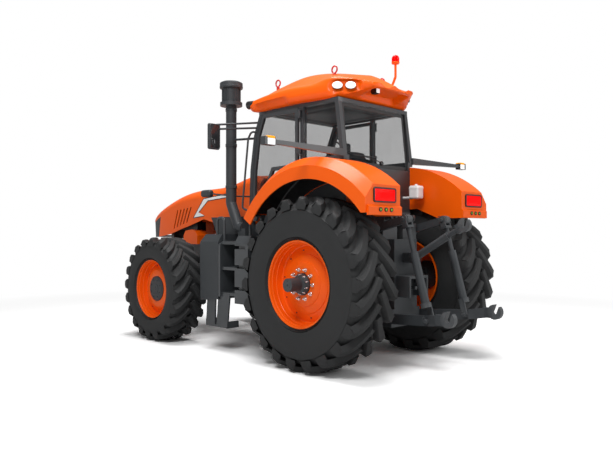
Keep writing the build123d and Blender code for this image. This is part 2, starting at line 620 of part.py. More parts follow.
def side_gear():
    tank = prism(
        [(bay(725), 720), (bay(1145), 680), (bay(1165), 1480), (bay(1105), 1620), (bay(725), 1620)], "y", 560, 1180
    )
    slope = prism([(1050, 600), (1300, 600), (1300, 1100), (1150, 600)], "x", bay(665), bay(1265))
    crown = prism([(1190, 1700), (1190, 1500), (1060, 1700)], "x", bay(665), bay(1265))
    tank = tank - slope - crown
    stay = block(bay(730), bay(810), 260, 560, 1000, 1200)
    tower = prism([(bay(665), 1600), (bay(1245), 1600), (bay(1395), 1870), (bay(665), 1870)], "y", 560, 815)
    parts["fuel_tank_left"] = tank + stay + tower
    right = mirrored(tank) + mirrored(stay)
    right += block(bay(215), bay(725), -1100, -560, 900, 1500)
    parts["fuel_tank_right"] = right
    inner = block(bay(85), bay(720), 620, 660, 900, 1540)
    rear_side = prism(
        [(660, 1540), (660, 760), (1060, 690), (1180, 690), (1180, 1500), (1120, 1600), (820, 1540)],
        "x", bay(75), bay(355),
    )
    for z in (895, 1186, 1445):
        rear_side -= block(bay(135), bay(365), 1105, 1200, z - 24, z + 20)
    front_side = prism(
        [(660, 1540), (660, 900), (1060, 760), (1180, 760), (1180, 1480), (1080, 1540)], "x", bay(680), bay(720)
    )
    ladder = inner + rear_side + front_side
    for z in (800, 1150, 1500):
        ladder += block(bay(345), bay(685), 900 if z < 1400 else 660, 1150, z - 20, z + 20)
    ladder += prism([(bay(500), 800), (bay(755), 800), (bay(800), 345), (bay(555), 345)], "y", 1130, 1154)
    ladder += prism([(bay(825), 740), (bay(1015), 740), (bay(1050), 330), (bay(840), 330)], "y", 1130, 1154)
    ladder += block(bay(555), bay(1050), 950, 1154, 330, 362)
    ladder += block(bay(555), bay(585), 950, 1154, 340, 420) + block(bay(1020), bay(1050), 950, 1154, 340, 420)
    ladder += block(bay(265), bay(385), 590, 662, 1470, 1558)
    parts["step_ladder"] = ladder - tank
    x = bay(125)
    rail = pipe([(x, 1100, 1540), (x, 1100, 1870), (x, 900, 1870), (x, 900, 1540)], 18, 60)
    near, far = bay(700), bay(865)
    front_rail = pipe([(near, 1090, 1400), (near, 1090, 1850), (far, 1090, 1850), (far, 1090, 1500)], 18, 60)
    w = CAB_HALF_WIDTH
    grab = pipe(
        [(1440, w - 5, 3040), (1440, w + 80, 3040), (1510, w + 80, 2950), (1640, w + 80, 1990), (1560, w - 5, 1930)], 14, 40
    ) - parts["cab_frame"]
    rails = [tube - parts["step_ladder"] - tank for tube in (rail, front_rail, grab)]
    parts["hand_rails"] = Compound(children=[max(tube.solids(), key=lambda t: t.volume) for tube in rails])


def stack():
    column = rod((1830, 900, 2200), (1830, 900, 3500), 75)
    lower = pipe([(1535, 900, 1705), (1650, 900, 1705), (1830, 900, 2060), (1830, 900, 2240)], 75, 90)
    cap = rod((1830, 900, 3440), (1830, 900, 3490), 157)
    cap += rod((1830, 900, 3490), (1830, 900, 3690), 126)
    cap += rod((1830, 900, 3690), (1830, 900, 3760), 162)
    brace = rod((1450, CAB_HALF_WIDTH - 30, 2960), (1830, 900, 2960), 16) - parts["cab_frame"]
    brace = max(brace.solids(), key=lambda t: t.volume)
    foot = block(1440, 1600, CAB_HALF_WIDTH - 50, 960, CAB_FLOOR_Z + 40, 1700)
    parts["air_stack"] = column + lower + cap + brace + foot - parts["cab_frame"]


def mirrors_and_lamps():
    w, frame = CAB_HALF_WIDTH, parts["cab_frame"]
    arm = rod((1430, w - 5, 3100), (1650, 1290, 3050), 14)
    arm += rod((1410, w - 5, 3170), (1650, 1290, 3110), 14)
    head = fillet(block(1630, 1690, 1240, 1420, 2770, 3120).edges(), 22)
    small = pipe([(1555, w - 5, 2150), (1860, 796, 2165), (2260, 940, 2213)], 11, 60)
    small += fillet(block(2230, 2460, 900, 1000, 2166, 2272).edges(), 40)
    shapes = [max((shape - frame).solids(), key=lambda t: t.volume) for shape in (arm + head, small)]
    parts["mirrors"] = Compound(children=[*shapes, *[mirrored(shape) for shape in shapes]])
    wr, z = CAB_REAR_HALF_WIDTH, SILL_Z + 20
    beam = prism([(wr - 10, z - 45), (wr - 10, z + 45), (1850, z + 40), (1850, z - 5)], "x", -172, -128)
    lamp = block(-190, -110, 1840, 1990, z - 28, z + 62)
    marker = beam + lamp - frame - parts["cab_base"]
    parts["marker_arms"] = pair(max(marker.solids(), key=lambda t: t.volume))
    stem = rod((CAB_REAR_X, -500, 2112), (-320, -500, 2112), 16)
    parts["work_lamp"] = stem + fillet(block(-430, -285, -572, -428, 2095, 2262).edges(), 22)


def lower_hitch():
    front, pin, hook = LINK_PIVOT, LINK_PIN, LINK_HOOK
    path = [(front[0], LINK_FRONT_Y), (pin[0], LINK_PIN_Y), (hook[0] + 120, LINK_HOOK_Y), (hook[0] + 60, LINK_HOOK_Y)]
    plan = bar(path, 44, "z", 400, 900)
    side = bar([front, pin, hook], 120, "y", 200, 700)
    link = plan & side
    link += rod((front[0], LINK_FRONT_Y - 30, front[1]), (front[0], LINK_FRONT_Y + 30, front[1]), 62)
    link -= rod((front[0], LINK_FRONT_Y - 60, front[1]), (front[0], LINK_FRONT_Y + 60, front[1]), HITCH_PIN_RADIUS + RUNNING_GAP)
    claw = rod((hook[0], LINK_HOOK_Y - 32, hook[1]), (hook[0], LINK_HOOK_Y + 32, hook[1]), CLAW_RADIUS)
    claw += block(hook[0], hook[0] + 160, LINK_HOOK_Y - 28, LINK_HOOK_Y + 28, hook[1] - 75, hook[1] + 45)
    claw -= rod((hook[0], LINK_HOOK_Y - 40, hook[1]), (hook[0], LINK_HOOK_Y + 40, hook[1]), 32)
    claw -= prism(
        [(hook[0] - 32, hook[1]), (hook[0] + 32, hook[1]), (hook[0] - 20, hook[1] + 140), (hook[0] - 90, hook[1] + 140)],
        "y", LINK_HOOK_Y - 40, LINK_HOOK_Y + 40,
    )
    parts["lower_links"] = pair(link + claw)


def upper_hitch():
    y = ARM_Y
    shaft = rod((ARM_PIVOT[0], 0, ARM_PIVOT[1]), (ARM_PIVOT[0], y + 35, ARM_PIVOT[1]), 45)
    arm = bar([ARM_PIVOT, ARM_END], 90, "y", y - 35, y + 35)
    arm += rod((ARM_PIVOT[0], y - 40, ARM_PIVOT[1]), (ARM_PIVOT[0], y + 40, ARM_PIVOT[1]), 85)
    arm += rod((ARM_END[0], y - 35, ARM_END[1]), (ARM_END[0], y + 35, ARM_END[1]), 55)
    arm -= rod((ARM_END[0], y - 50, ARM_END[1]), (ARM_END[0], y + 50, ARM_END[1]), HITCH_PIN_RADIUS + RUNNING_GAP)
    side = shaft + arm
    parts["lift_arms"] = side + mirrored(side)
    top, low = (ARM_END[0], y, ARM_END[1]), (LINK_PIN[0], y, LINK_PIN[1])
    reach = Vector(*low) - Vector(*top)
    way = reach.normalized()
    cheeks = rod((top[0], y - 62, top[2]), (top[0], y + 62, top[2]), 50)
    cheeks -= block(top[0] - 80, top[0] + 80, y - 40, y + 40, top[2] - 80, top[2] + 80)
    cheeks += rod((top[0], y - 62, top[2]), (top[0], y + 62, top[2]), HITCH_PIN_RADIUS)
    neck = Vector(*top) + way * 110
    collar = Vector(*top) + way * 80
    link = cheeks + bar([(collar.X, collar.Z), (neck.X, neck.Z)], 80, "y", y - 62, y + 62)
    for edge in (y - 62, y + 40):
        link += bar([(top[0], top[2]), (neck.X, neck.Z)], 70, "y", edge, edge + 22)
    link += rod(tuple(neck), tuple(Vector(*top) + way * 420), 28)
    link += rod(tuple(Vector(*top) + way * 400), tuple(Vector(*low) - way * 190), 48)
    tail = Vector(*low) - way * 200
    for edge in (y - 62, y + 48):
        link += bar([(tail.X, tail.Z), (low[0], low[2])], 70, "y", edge, edge + 20)
    link += rod(tuple(Vector(*low) - way * 205), tuple(Vector(*low) - way * 150), 62)
    parts["lift_rods"] = pair(link)


def top_link():
    a, b = TOP_PIVOT, TOP_HOOK
    start, end = (a[0], 0, a[1]), (b[0], 0, b[1])
    way = (Vector(*end) - Vector(*start)).normalized()
    body = rod(tuple(Vector(*start) + way * 40), tuple(Vector(*end) - way * 250), 46)
    body += rod(tuple(Vector(*end) - way * 260), tuple(Vector(*end) - way * 60), 30)
    body += rod((a[0], -28, a[1]), (a[0], 28, a[1]), 55)
    body -= rod((a[0], -40, a[1]), (a[0], 40, a[1]), HITCH_PIN_RADIUS + RUNNING_GAP)
    claw = rod((b[0], -28, b[1]), (b[0], 28, b[1]), 80)
    root = Vector(*end) - way * 120
    claw += bar([(root.X, root.Z), b], 110, "y", -28, 28)
    claw -= rod((b[0], -40, b[1]), (b[0], 40, b[1]), 26)
    claw -= prism([(b[0] - 26, b[1]), (b[0] + 26, b[1]), (b[0] + 10, b[1] + 130), (b[0] - 70, b[1] + 130)], "y", -40, 40)
    parts["top_link"] = body + claw


def hitch_frame():
    z = REAR_TYRE_RADIUS
    frame = block(-560, -424, -230, 230, 480, 1500)
    front, top = LINK_PIVOT, TOP_PIVOT
    for y in (-60, 38):
        frame += bar([(-500, 1330), top], 120, "y", y, y + 22)
    frame += rod((top[0], -60, top[1]), (top[0], 60, top[1]), HITCH_PIN_RADIUS)
    bracket = block(-560, -424, 220, 290, 480, 700)
    bracket += block(front[0] - 60, front[0] + 60, 255, 290, front[1] - 60, front[1] + 60)
    bracket += rod((front[0], 255, front[1]), (front[0], LINK_FRONT_Y + 32, front[1]), HITCH_PIN_RADIUS)
    frame += bracket + mirrored(bracket)
    saddle = block(-470, -220, 60, 340, 1560, 1760)
    saddle -= rod((ARM_PIVOT[0], 0, ARM_PIVOT[1]), (ARM_PIVOT[0], 400, ARM_PIVOT[1]), 45 + RUNNING_GAP)
    guard = block(-760, -560, -190, 190, 850, 1110) - block(-780, -562, -160, 160, 840, 1080)
    pto = rod((-560, 0, 960), (-720, 0, 960), PTO_RADIUS)
    valves = block(-560, -424, -230, 230, 1500, 1560)
    slot = block(-600, -400, -55, 55, 520, 572)
    parts["hitch_frame"] = frame + guard + pto + valves - slot
    parts["lift_saddle"] = pair(saddle)
    manifold = block(-430, -200, -270, 270, 1760, 1900)
    for i in range(6):
        y = 90 * (i - 2.5)
        manifold += rod((-430, y, 1835), (-480, y, 1835), 34) + rod((-475, y, 1835), (-510, y, 1835), 27)
    parts["valve_block"] = manifold
    drawbar = block(-1010, 300, -55, 55, 520, 570)
    drawbar -= rod((-950, 0, 500), (-950, 0, 600), DRAWBAR_PIN_RADIUS)
    parts["drawbar"] = drawbar


def main():
    rear_wheels()
    front_wheels()
    rear_axle()
    front_axle()
    driveline()
    hood()
    fenders()
    cab_base()
    cab_frame()
    roof()
    windows()
    doors()
    cab_inside()
    side_gear()
    stack()
    mirrors_and_lamps()
    lower_hitch()
    upper_hitch()
    top_link()
    hitch_frame()
    os.makedirs("parts", exist_ok=True)
    for name, shape in parts.items():
        export_step(Pos(-ORIGIN_X, 0, 0) * shape, f"parts/{name}.step")


main()
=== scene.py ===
import json
from math import cos, pi, radians, sin, tau

import bpy
from mathutils import Matrix, Vector
from mathutils.bvhtree import BVHTree


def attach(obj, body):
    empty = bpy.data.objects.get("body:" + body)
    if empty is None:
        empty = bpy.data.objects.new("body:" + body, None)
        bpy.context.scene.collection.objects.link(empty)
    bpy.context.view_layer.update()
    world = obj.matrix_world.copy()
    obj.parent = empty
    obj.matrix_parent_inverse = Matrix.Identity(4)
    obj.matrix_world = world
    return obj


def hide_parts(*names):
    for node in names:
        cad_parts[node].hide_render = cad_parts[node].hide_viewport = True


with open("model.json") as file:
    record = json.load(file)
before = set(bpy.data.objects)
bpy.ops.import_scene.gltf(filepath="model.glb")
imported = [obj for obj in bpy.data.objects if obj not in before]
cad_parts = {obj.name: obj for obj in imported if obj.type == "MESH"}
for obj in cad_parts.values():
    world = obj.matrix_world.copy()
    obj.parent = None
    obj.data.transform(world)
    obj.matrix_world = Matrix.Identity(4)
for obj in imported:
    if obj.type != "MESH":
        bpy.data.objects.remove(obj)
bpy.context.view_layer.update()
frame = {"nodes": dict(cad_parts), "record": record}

nodes = frame["nodes"]
rearAxleX = -1.570                        # x of the rear axle in the frame
sides = (("left", 1), ("right", -1))
print("frame loaded:", len(nodes), "nodes")


# one wrapped socket: expressions on it add Math nodes
class Wire:
    def __init__(self, tree, socket=None):
        self.tree = tree
        self.socket = socket

    def make(self, kind, settings=None, values=None, out=0):
        node = self.tree.nodes.new(kind)
        for key, value in (settings or {}).items():
            if key == "stops":
                ramp = node.color_ramp
                while len(ramp.elements) < len(value):
                    ramp.elements.new(0.5)
                for element, (place, colour) in zip(ramp.elements, value):
                    element.position = place
                    element.color = colour
            else:
                setattr(node, key, value)
        for key, value in (values or {}).items():
            if isinstance(value, Wire):
                self.tree.links.new(value.socket, node.inputs[key])
            else:
                node.inputs[key].default_value = value
        return Wire(self.tree, node.outputs[out] if node.outputs else None)

    def maths(self, operation, first, second):
        return self.make("ShaderNodeMath", {"operation": operation}, {0: first, 1: second})

    def __add__(self, other): return self.maths("ADD", self, other)
    def __radd__(self, other): return self.maths("ADD", other, self)
    def __sub__(self, other): return self.maths("SUBTRACT", self, other)
    def __rsub__(self, other): return self.maths("SUBTRACT", other, self)
    def __mul__(self, other): return self.maths("MULTIPLY", self, other)
    def __rmul__(self, other): return self.maths("MULTIPLY", other, self)
    def __truediv__(self, other): return self.maths("DIVIDE", self, other)
    def __rtruediv__(self, other): return self.maths("DIVIDE", other, self)
    def __pow__(self, other): return self.maths("POWER", self, other)
    def __gt__(self, other): return self.maths("GREATER_THAN", self, other)

    def clamp(self):
        return self.make("ShaderNodeClamp", {}, {"Value": self})

    def noise(self, place, scale, detail=3.0, rough=0.55):
        return self.make("ShaderNodeTexNoise", {}, {
            "Vector": place, "Scale": scale, "Detail": detail, "Roughness": rough})

    def tint(self, mask, low, high):
        return self.make("ShaderNodeMix", {"data_type": "RGBA"}, {0: mask, 6: low, 7: high}, 2)

    def bump(self, height, depth, strength):
        return self.make("ShaderNodeBump", {}, {"Strength": strength, "Distance": depth, "Height": height})


def newFinish(name):
    material = bpy.data.materials.new(name)
    material.use_nodes = True
    tree = material.node_tree
    tree.nodes.clear()
    wire = Wire(tree)
    place = wire.make("ShaderNodeTexCoord", {}, {}, "Object")
    return material, wire, place


# constants go straight onto the shader, links carry what varies
def closeFinish(material, wire, values):
    shader = wire.make("ShaderNodeBsdfPrincipled", {}, values)
    wire.make("ShaderNodeOutputMaterial", {}, {"Surface": shader})
    return material


def edgeWear(wire):
    point = wire.make("ShaderNodeNewGeometry", {}, {}, "Pointiness")
    return ((point - 0.52) * 9.0).clamp()


orangeLook = {"body": (1.00, 0.130, 0.0008, 1), "shade": (0.93, 0.108, 0.0005, 1), "mottle": (0.70, 0.13, 0.012, 1),
              "peelScale": 260.0, "peelDepth": 0.0004, "rough": 0.34}


def orangePaint():
    material, wire, place = newFinish("orangePaint")
    broad = wire.noise(place, 1.6, 4.0)
    fine = wire.noise(place, 46.0, 4.0)
    height = wire.make("ShaderNodeSeparateXYZ", {}, {0: place}, 2)
    # mottled darker, browner tone towards the bottom, fading out above about 1.8 m
    low = (1.0 - height * 0.55).clamp() * fine
    colour = wire.tint(broad, orangeLook["body"], orangeLook["shade"])
    colour = wire.tint((low * 0.35).clamp(), colour, orangeLook["mottle"])
    peel = wire.noise(place, orangeLook["peelScale"], 1.0)
    return closeFinish(material, wire, {
        "Base Color": colour, "Roughness": orangeLook["rough"] + broad * 0.10 + low * 0.15,
        "Coat Weight": 0.16, "Coat Roughness": 0.14, "Specular IOR Level": 0.22,
        "Normal": wire.bump(peel, orangeLook["peelDepth"], 0.25)})


castLook = {"body": (0.030, 0.034, 0.038, 1), "light": (0.047, 0.052, 0.057, 1), "wear": (0.16, 0.165, 0.17, 1)}


def castPaint():
    material, wire, place = newFinish("castPaint")
    broad = wire.noise(place, 3.2, 5.0)
    grain = wire.noise(place, 190.0, 3.0)
    worn = edgeWear(wire) * broad
    colour = wire.tint(broad, castLook["body"], castLook["light"])
    colour = wire.tint(worn * 0.6, colour, castLook["wear"])
    return closeFinish(material, wire, {
        "Base Color": colour, "Roughness": 0.46 + grain * 0.16, "Specular IOR Level": 0.45,
        "Normal": wire.bump(grain, 0.0012, 0.35)})


slateLook = {"body": (0.033, 0.037, 0.041, 1), "light": (0.045, 0.050, 0.055, 1)}


def slatePlastic():
    material, wire, place = newFinish("slatePlastic")
    broad = wire.noise(place, 2.4, 4.0)
    pebble = wire.make("ShaderNodeTexVoronoi", {"feature": "SMOOTH_F1"}, {"Vector": place, "Scale": 330.0})
    return closeFinish(material, wire, {
        "Base Color": wire.tint(broad, slateLook["body"], slateLook["light"]),
        "Roughness": 0.44 + broad * 0.14, "Specular IOR Level": 0.4,
        "Normal": wire.bump(pebble, 0.0008, 0.22)})


rubberLook = {"body": (0.0150, 0.0155, 0.0160, 1), "light": (0.027, 0.028, 0.029, 1), "mottle": (0.06, 0.058, 0.055, 1)}


def tyreRubber():
    material, wire, place = newFinish("tyreRubber")
    broad = wire.noise(place, 4.5, 5.0)
    grain = wire.noise(place, 240.0, 2.0)
    colour = wire.tint(broad, rubberLook["body"], rubberLook["light"])
    colour = wire.tint((edgeWear(wire) * grain * 0.55).clamp(), colour, rubberLook["mottle"])
    return closeFinish(material, wire, {
        "Base Color": colour, "Roughness": 0.56 + broad * 0.20, "Specular IOR Level": 0.42,
        "Normal": wire.bump(grain, 0.0012, 0.30)})


def brightSteel():
    material, wire, place = newFinish("brightSteel")
    streak = wire.noise(place, 120.0, 4.0)
    return closeFinish(material, wire, {
        "Base Color": wire.tint(streak, (0.78, 0.78, 0.78, 1), (0.60, 0.61, 0.62, 1)), "Metallic": 1.0,
        "Roughness": 0.14 + streak * 0.14, "Normal": wire.bump(streak, 0.0004, 0.2)})


glassLook = {"tint": (0.010, 0.011, 0.012, 1), "hold": 0.20}


def tintedGlass():
    material, wire, place = newFinish("tintedGlass")
    film = wire.noise(place, 2.2, 3.0)
    return closeFinish(material, wire, {
        "Base Color": wire.tint(film, glassLook["tint"], (0.030, 0.034, 0.037, 1)),
        "Roughness": 0.03 + film * 0.04, "Alpha": glassLook["hold"] + film * 0.05, "Specular IOR Level": 0.35})


# a moulded lens: a cell pattern in its own colour, lit a little from within
def lensFinish(name, colour, deep, glow):
    material, wire, place = newFinish(name)
    cells = wire.make("ShaderNodeTexVoronoi", {"feature": "F1"}, {"Vector": place, "Scale": 95.0})
    tinted = wire.tint((cells * 1.6).clamp(), colour, deep)
    return closeFinish(material, wire, {
        "Base Color": tinted, "Roughness": 0.12 + cells * 0.10, "Coat Weight": 0.06, "Specular IOR Level": 0.10,
        "Emission Color": tinted, "Emission Strength": glow, "Normal": wire.bump(cells, 0.002, 0.3)})


def plainPaint(name, colour, shade, rough):
    material, wire, place = newFinish(name)
    broad = wire.noise(place, 6.0, 4.0)
    peel = wire.noise(place, 240.0, 2.0)
    return closeFinish(material, wire, {
        "Base Color": wire.tint(broad, colour, shade), "Roughness": rough + broad * 0.1,
        "Coat Weight": 0.3, "Normal": wire.bump(peel, 0.0004, 0.25)})


def seatCloth():
    material, wire, place = newFinish("seatCloth")
    across, along = [wire.make("ShaderNodeTexWave", {"wave_type": "BANDS", "bands_direction": way},
                               {"Vector": place, "Scale": 140.0}) for way in ("Y", "X")]
    weave = across * along
    broad = wire.noise(place, 9.0, 4.0)
    colour = wire.tint(weave, (0.018, 0.019, 0.021, 1), (0.050, 0.052, 0.056, 1))
    return closeFinish(material, wire, {
        "Base Color": wire.tint((broad * 0.5).clamp(), colour, (0.070, 0.070, 0.072, 1)),
        "Roughness": 0.82 + broad * 0.1, "Sheen Weight": 0.35, "Normal": wire.bump(weave, 0.001, 0.5)})


finish = {
    "orange": orangePaint(), "cast": castPaint(), "slate": slatePlastic(), "rubber": tyreRubber(),
    "steel": brightSteel(), "glass": tintedGlass(), "cloth": seatCloth(),
    "red": lensFinish("redLens", (0.95, 0.001, 0.001, 1), (0.72, 0.0, 0.0, 1), 0.62),
    "amber": lensFinish("amberLens", (0.95, 0.42, 0.01, 1), (0.80, 0.30, 0.0, 1), 0.35),
    "clear": lensFinish("clearLens", (0.92, 0.92, 0.92, 1), (0.80, 0.81, 0.82, 1), 0.55),
    "green": lensFinish("greenLens", (0.32, 0.75, 0.02, 1), (0.20, 0.5, 0.0, 1), 0.4),
    "white": plainPaint("whitePaint", (0.95, 0.95, 0.945, 1), (0.88, 0.88, 0.88, 1), 0.35),
    "black": plainPaint("blackPaint", (0.006, 0.006, 0.007, 1), (0.012, 0.012, 0.013, 1), 0.4),
    "mirror": plainPaint("mirrorGlass", (0.020, 0.021, 0.023, 1), (0.030, 0.031, 0.034, 1), 0.04),
    "darkPaint": plainPaint("darkPaint", (0.047, 0.052, 0.057, 1), (0.038, 0.042, 0.046, 1), 0.42),
    "redPaint": plainPaint("redPaint", (0.55, 0.012, 0.008, 1), (0.42, 0.008, 0.006, 1), 0.3),
}
slotFinish = {"orange_paint": "orange", "tyre_rubber": "rubber", "cast_parts": "cast", "bright_steel": "steel",
              "tinted_glass": "glass", "red_lens": "red", "red_paint": "redPaint", "seat_cover": "cloth",
              "dark_plastic": "slate", "dark_paint": "darkPaint", "white_paint": "white"}
for subpart in frame["record"]["subparts"]:
    mesh = nodes[subpart["node"]].data
    mesh.materials.clear()
    mesh.materials.append(finish[slotFinish[subpart["material_slot"]]])
print("finishes set:", len(finish))


# a new piece from a shape, riding a body
def addPiece(name, shape, look, body, smoothAngle=32):
    mesh = bpy.data.meshes.new(name)
    mesh.from_pydata([tuple(p) for p in shape.points], [], shape.faces)
    mesh.validate()
    mesh.polygons.foreach_set("use_smooth", [True] * len(mesh.polygons))
    mesh.set_sharp_from_angle(angle=radians(smoothAngle))
    mesh.materials.append(finish[look])
    piece = bpy.data.objects.new(name, mesh)
    bpy.context.scene.collection.objects.link(piece)
    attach(piece, body)
    return piece


class Shape:                              # points and faces gathered for one piece
    def __init__(self):
        self.points = []
        self.faces = []

    def add(self, points, faces):
        first = len(self.points)
        self.points += [Vector(p) for p in points]
        self.faces += [tuple(first + i for i in face) for face in faces]

    # a grid of rows; closed rows join their ends
    def rows(self, rows, closed=False, capStart=False, capEnd=False):
        wide = len(rows[0])
        faces = []
        for r in range(len(rows) - 1):
            for c in range(wide if closed else wide - 1):
                d = (c + 1) % wide
                faces.append((r * wide + c, r * wide + d, (r + 1) * wide + d, (r + 1) * wide + c))
        if capStart:
            faces.append(tuple(reversed(range(wide))))
        if capEnd:
            faces.append(tuple((len(rows) - 1) * wide + c for c in range(wide)))
        self.add([p for row in rows for p in row], faces)

    # a ring turned about a line through centre along axis; profile rows are (along, radius)
    def turned(self, profile, centre, axis, steps, capStart=True, capEnd=True):
        axis = Vector(axis).normalized()
        side = axis.orthogonal().normalized()
        other = axis.cross(side)
        rows = []
        for along, radius in profile:
            middle = Vector(centre) + axis * along
            rows.append([middle + (side * cos(tau * i / steps) + other * sin(tau * i / steps)) * radius
                         for i in range(steps)])
        self.rows(rows, True, capStart, capEnd)

    # a tube along points with one radius
    def tube(self, path, radius, steps=12):
        path = [Vector(p) for p in path]
        rows = []
        side = None
        for i, point in enumerate(path):
            way = (path[min(i + 1, len(path) - 1)] - path[max(i - 1, 0)]).normalized()
            side = way.orthogonal().normalized() if side is None else (side - way * side.dot(way)).normalized()
            other = way.cross(side)
            rows.append([point + (side * cos(tau * k / steps) + other * sin(tau * k / steps)) * radius
                         for k in range(steps)])
        self.rows(rows, True, True, True)

    # a box with small bevels, given its middle, size and a turn
    def box(self, centre, size, turn=Matrix.Identity(3), bevel=0.004):
        half = [s / 2 for s in size]
        edge = min(bevel, min(half) * 0.45)
        rows = []
        for z, inset in ((-half[2], edge), (-half[2] + edge, 0), (half[2] - edge, 0), (half[2], edge)):
            a, b, c = half[0] - inset, half[1] - inset, edge
            ring = [(a, -b + c), (a, b - c), (a - c, b), (-a + c, b),
                    (-a, b - c), (-a, -b + c), (-a + c, -b), (a - c, -b)]
            rows.append([Vector(centre) + turn @ Vector((x, y, z)) for x, y in ring])
        self.rows(rows, True, True, True)


def row(x, y, z):                         # a point measured from the rear axle
    return Vector((x + rearAxleX, y, z))


# where a line meets a CAD node's skin
skins = {}


def skinPoint(node, start, way):
    if node not in skins:
        mesh = nodes[node].data
        mesh.calc_loop_triangles()
        skins[node] = BVHTree.FromPolygons([v.co for v in mesh.vertices],
                                           [t.vertices for t in mesh.loop_triangles])
    return skins[node].ray_cast(Vector(start), Vector(way).normalized())[0]


# lugged tyres: lean is how far a lug runs round the tyre, bar half its thickness, middle the tyre's place
rearTyre = {"radius": 1.035, "width": 0.650, "rim": 0.5085, "lug": 0.058, "count": 22, "lean": 0.344, "bar": 0.034,
            "middle": (0.0, 1.050)}
frontTyre = {"radius": 0.786, "width": 0.540, "rim": 0.4405, "lug": 0.050, "count": 20, "lean": 0.344, "bar": 0.027,
             "middle": (3.2, 1.145)}
treadStart = -0.172 - 0.2065 - pi         # the turn that sets one lug's tip straight down


def tyreProfile(spec):
    half, rim, crown = spec["width"] / 2, spec["rim"], spec["radius"] - spec["lug"]
    tall = crown - rim
    side = [(0.845, 0.003), (0.878, 0.016), (0.890, 0.023), (0.850, 0.034), (0.908, 0.043), (0.922, 0.050),
            (0.880, 0.061), (0.936, 0.070), (0.950, 0.078), (0.912, 0.091), (0.957, 0.106), (0.978, 0.17),
            (0.994, 0.28), (0.999, 0.42), (0.995, 0.55), (0.984, 0.66), (0.966, 0.725), (0.973, 0.748),
            (0.964, 0.768), (0.940, 0.779), (0.905, 0.800), (0.870, 0.845), (0.800, 0.900), (0.680, 0.950),
            (0.500, 0.980), (0.250, 0.995)]
    outer = [(half * a, rim + tall * b) for a, b in side]
    return outer + [(0, crown)] + [(-a, r) for a, r in reversed(outer)]


def lugRows(spec, side, start):
    radius, half, lug, bar = spec["radius"], spec["width"] / 2, spec["lug"], spec["bar"]
    rows = []
    steps = 12
    for i in range(steps + 1):
        s = i / steps
        y = 0.012 + (half * 0.965 - 0.012) * s
        angle = start + spec["lean"] * (1 - s) ** 1.45
        slope = -spec["lean"] * 1.45 * (1 - s) ** 0.45 * radius / (half * 0.95)
        long = (1 + slope * slope) ** 0.5
        across = (1 / long, -slope / long)       # turn and width shares of the bar's side step
        top = radius - 0.022 * max(0, s - 0.62) / 0.38 * (radius / 1.035)
        base = radius - lug * (1.25 + 0.9 * max(0, s - 0.6))
        wide = bar * (1.0 + 0.30 * s)
        if i == steps:
            top -= 0.010
        ring = []
        foot = wide + 0.022 + 0.026 * s
        for out, height in ((foot, base), (wide + 0.006, top - 0.012), (wide - 0.003, top - 0.001), (0, top),
                            (-wide + 0.003, top - 0.001), (-wide - 0.006, top - 0.012), (-foot, base)):
            a = angle + out * across[0] / radius
            ring.append((a, side * (y + out * across[1]), height))
        rows.append(ring)
    end = []                                  # the lug's end face runs down the shoulder
    for a, y, height in rows[-1]:
        drop = lug * (2.3 if height < radius - lug else 1.0)
        end.append((a, side * half * 0.998, radius - drop + (height - radius) * 0.2))
    return rows + [end]


def tyrePiece(name, spec, centre, body, node, outward):
    shape = Shape()
    shape.turned(tyreProfile(spec), centre, (0, 1, 0), 132, False, False)
    for side in (1, -1):
        for i in range(spec["count"]):
            start = treadStart + tau * (i + (0.5 if side != outward else 0)) / spec["count"]
            rows = [[Vector(centre) + Vector((r * sin(a), y, r * cos(a))) for a, y, r in ring]
                    for ring in lugRows(spec, side, start)]
            if side < 0:
                rows = [list(reversed(ring)) for ring in rows]
            shape.rows(rows, False, True, True)
    piece = addPiece(name, shape, "rubber", body, 38)
    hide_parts(node)


wheels = []
for sideName, sign in sides:
    for end, spec in (("rear", rearTyre), ("front", frontTyre)):
        x, y = spec["middle"]
        body = f"{end}_wheel_{sideName}"
        centre = row(x, sign * y, spec["radius"])
        tyrePiece(f"{end}_lugged_tyre_{sideName}", spec, centre, body, f"{end}_tyre_{sideName}", sign)
        wheels.append((end, sideName, sign, centre, body))
print("tyres made:", len(wheels))


# nuts and bolts on the wheels
rearNuts = {"count": 10, "ring": 0.178, "face": 1.256, "radius": 0.018, "tall": 0.030,
            "innerRing": 0.112, "innerFace": 1.283, "innerRadius": 0.011, "innerTall": 0.022}


def nut(shape, centre, way, radius, tall):
    shape.turned([(0, radius * 1.35), (tall * 0.18, radius * 1.35), (tall * 0.20, radius * 1.1),
                  (tall * 0.75, radius * 1.1), (tall * 0.85, radius * 0.8)], centre, way, 6)
    shape.turned([(tall * 0.8, radius * 0.62), (tall * 1.35, radius * 0.60), (tall * 1.5, radius * 0.42)],
                 centre, way, 12)


for end, sideName, sign, centre, body in wheels:
    if end == "rear":
        nuts = Shape()
        for i in range(rearNuts["count"]):
            a = tau * (i + 0.5) / rearNuts["count"]
            ring = rearNuts["ring"]
            spot = (centre.x + ring * sin(a), sign * rearNuts["face"], centre.z + ring * cos(a))
            nut(nuts, spot, (0, sign, 0), rearNuts["radius"], rearNuts["tall"])
        for i in range(rearNuts["count"]):
            a = tau * i / rearNuts["count"]
            ring = rearNuts["innerRing"]
            spot = (centre.x + ring * sin(a), sign * rearNuts["innerFace"], centre.z + ring * cos(a))
            nut(nuts, spot, (0, sign, 0), rearNuts["innerRadius"], rearNuts["innerTall"])
        addPiece(f"rear_wheel_nuts_{sideName}", nuts, "steel", body, 25)
print("wheel nuts made")


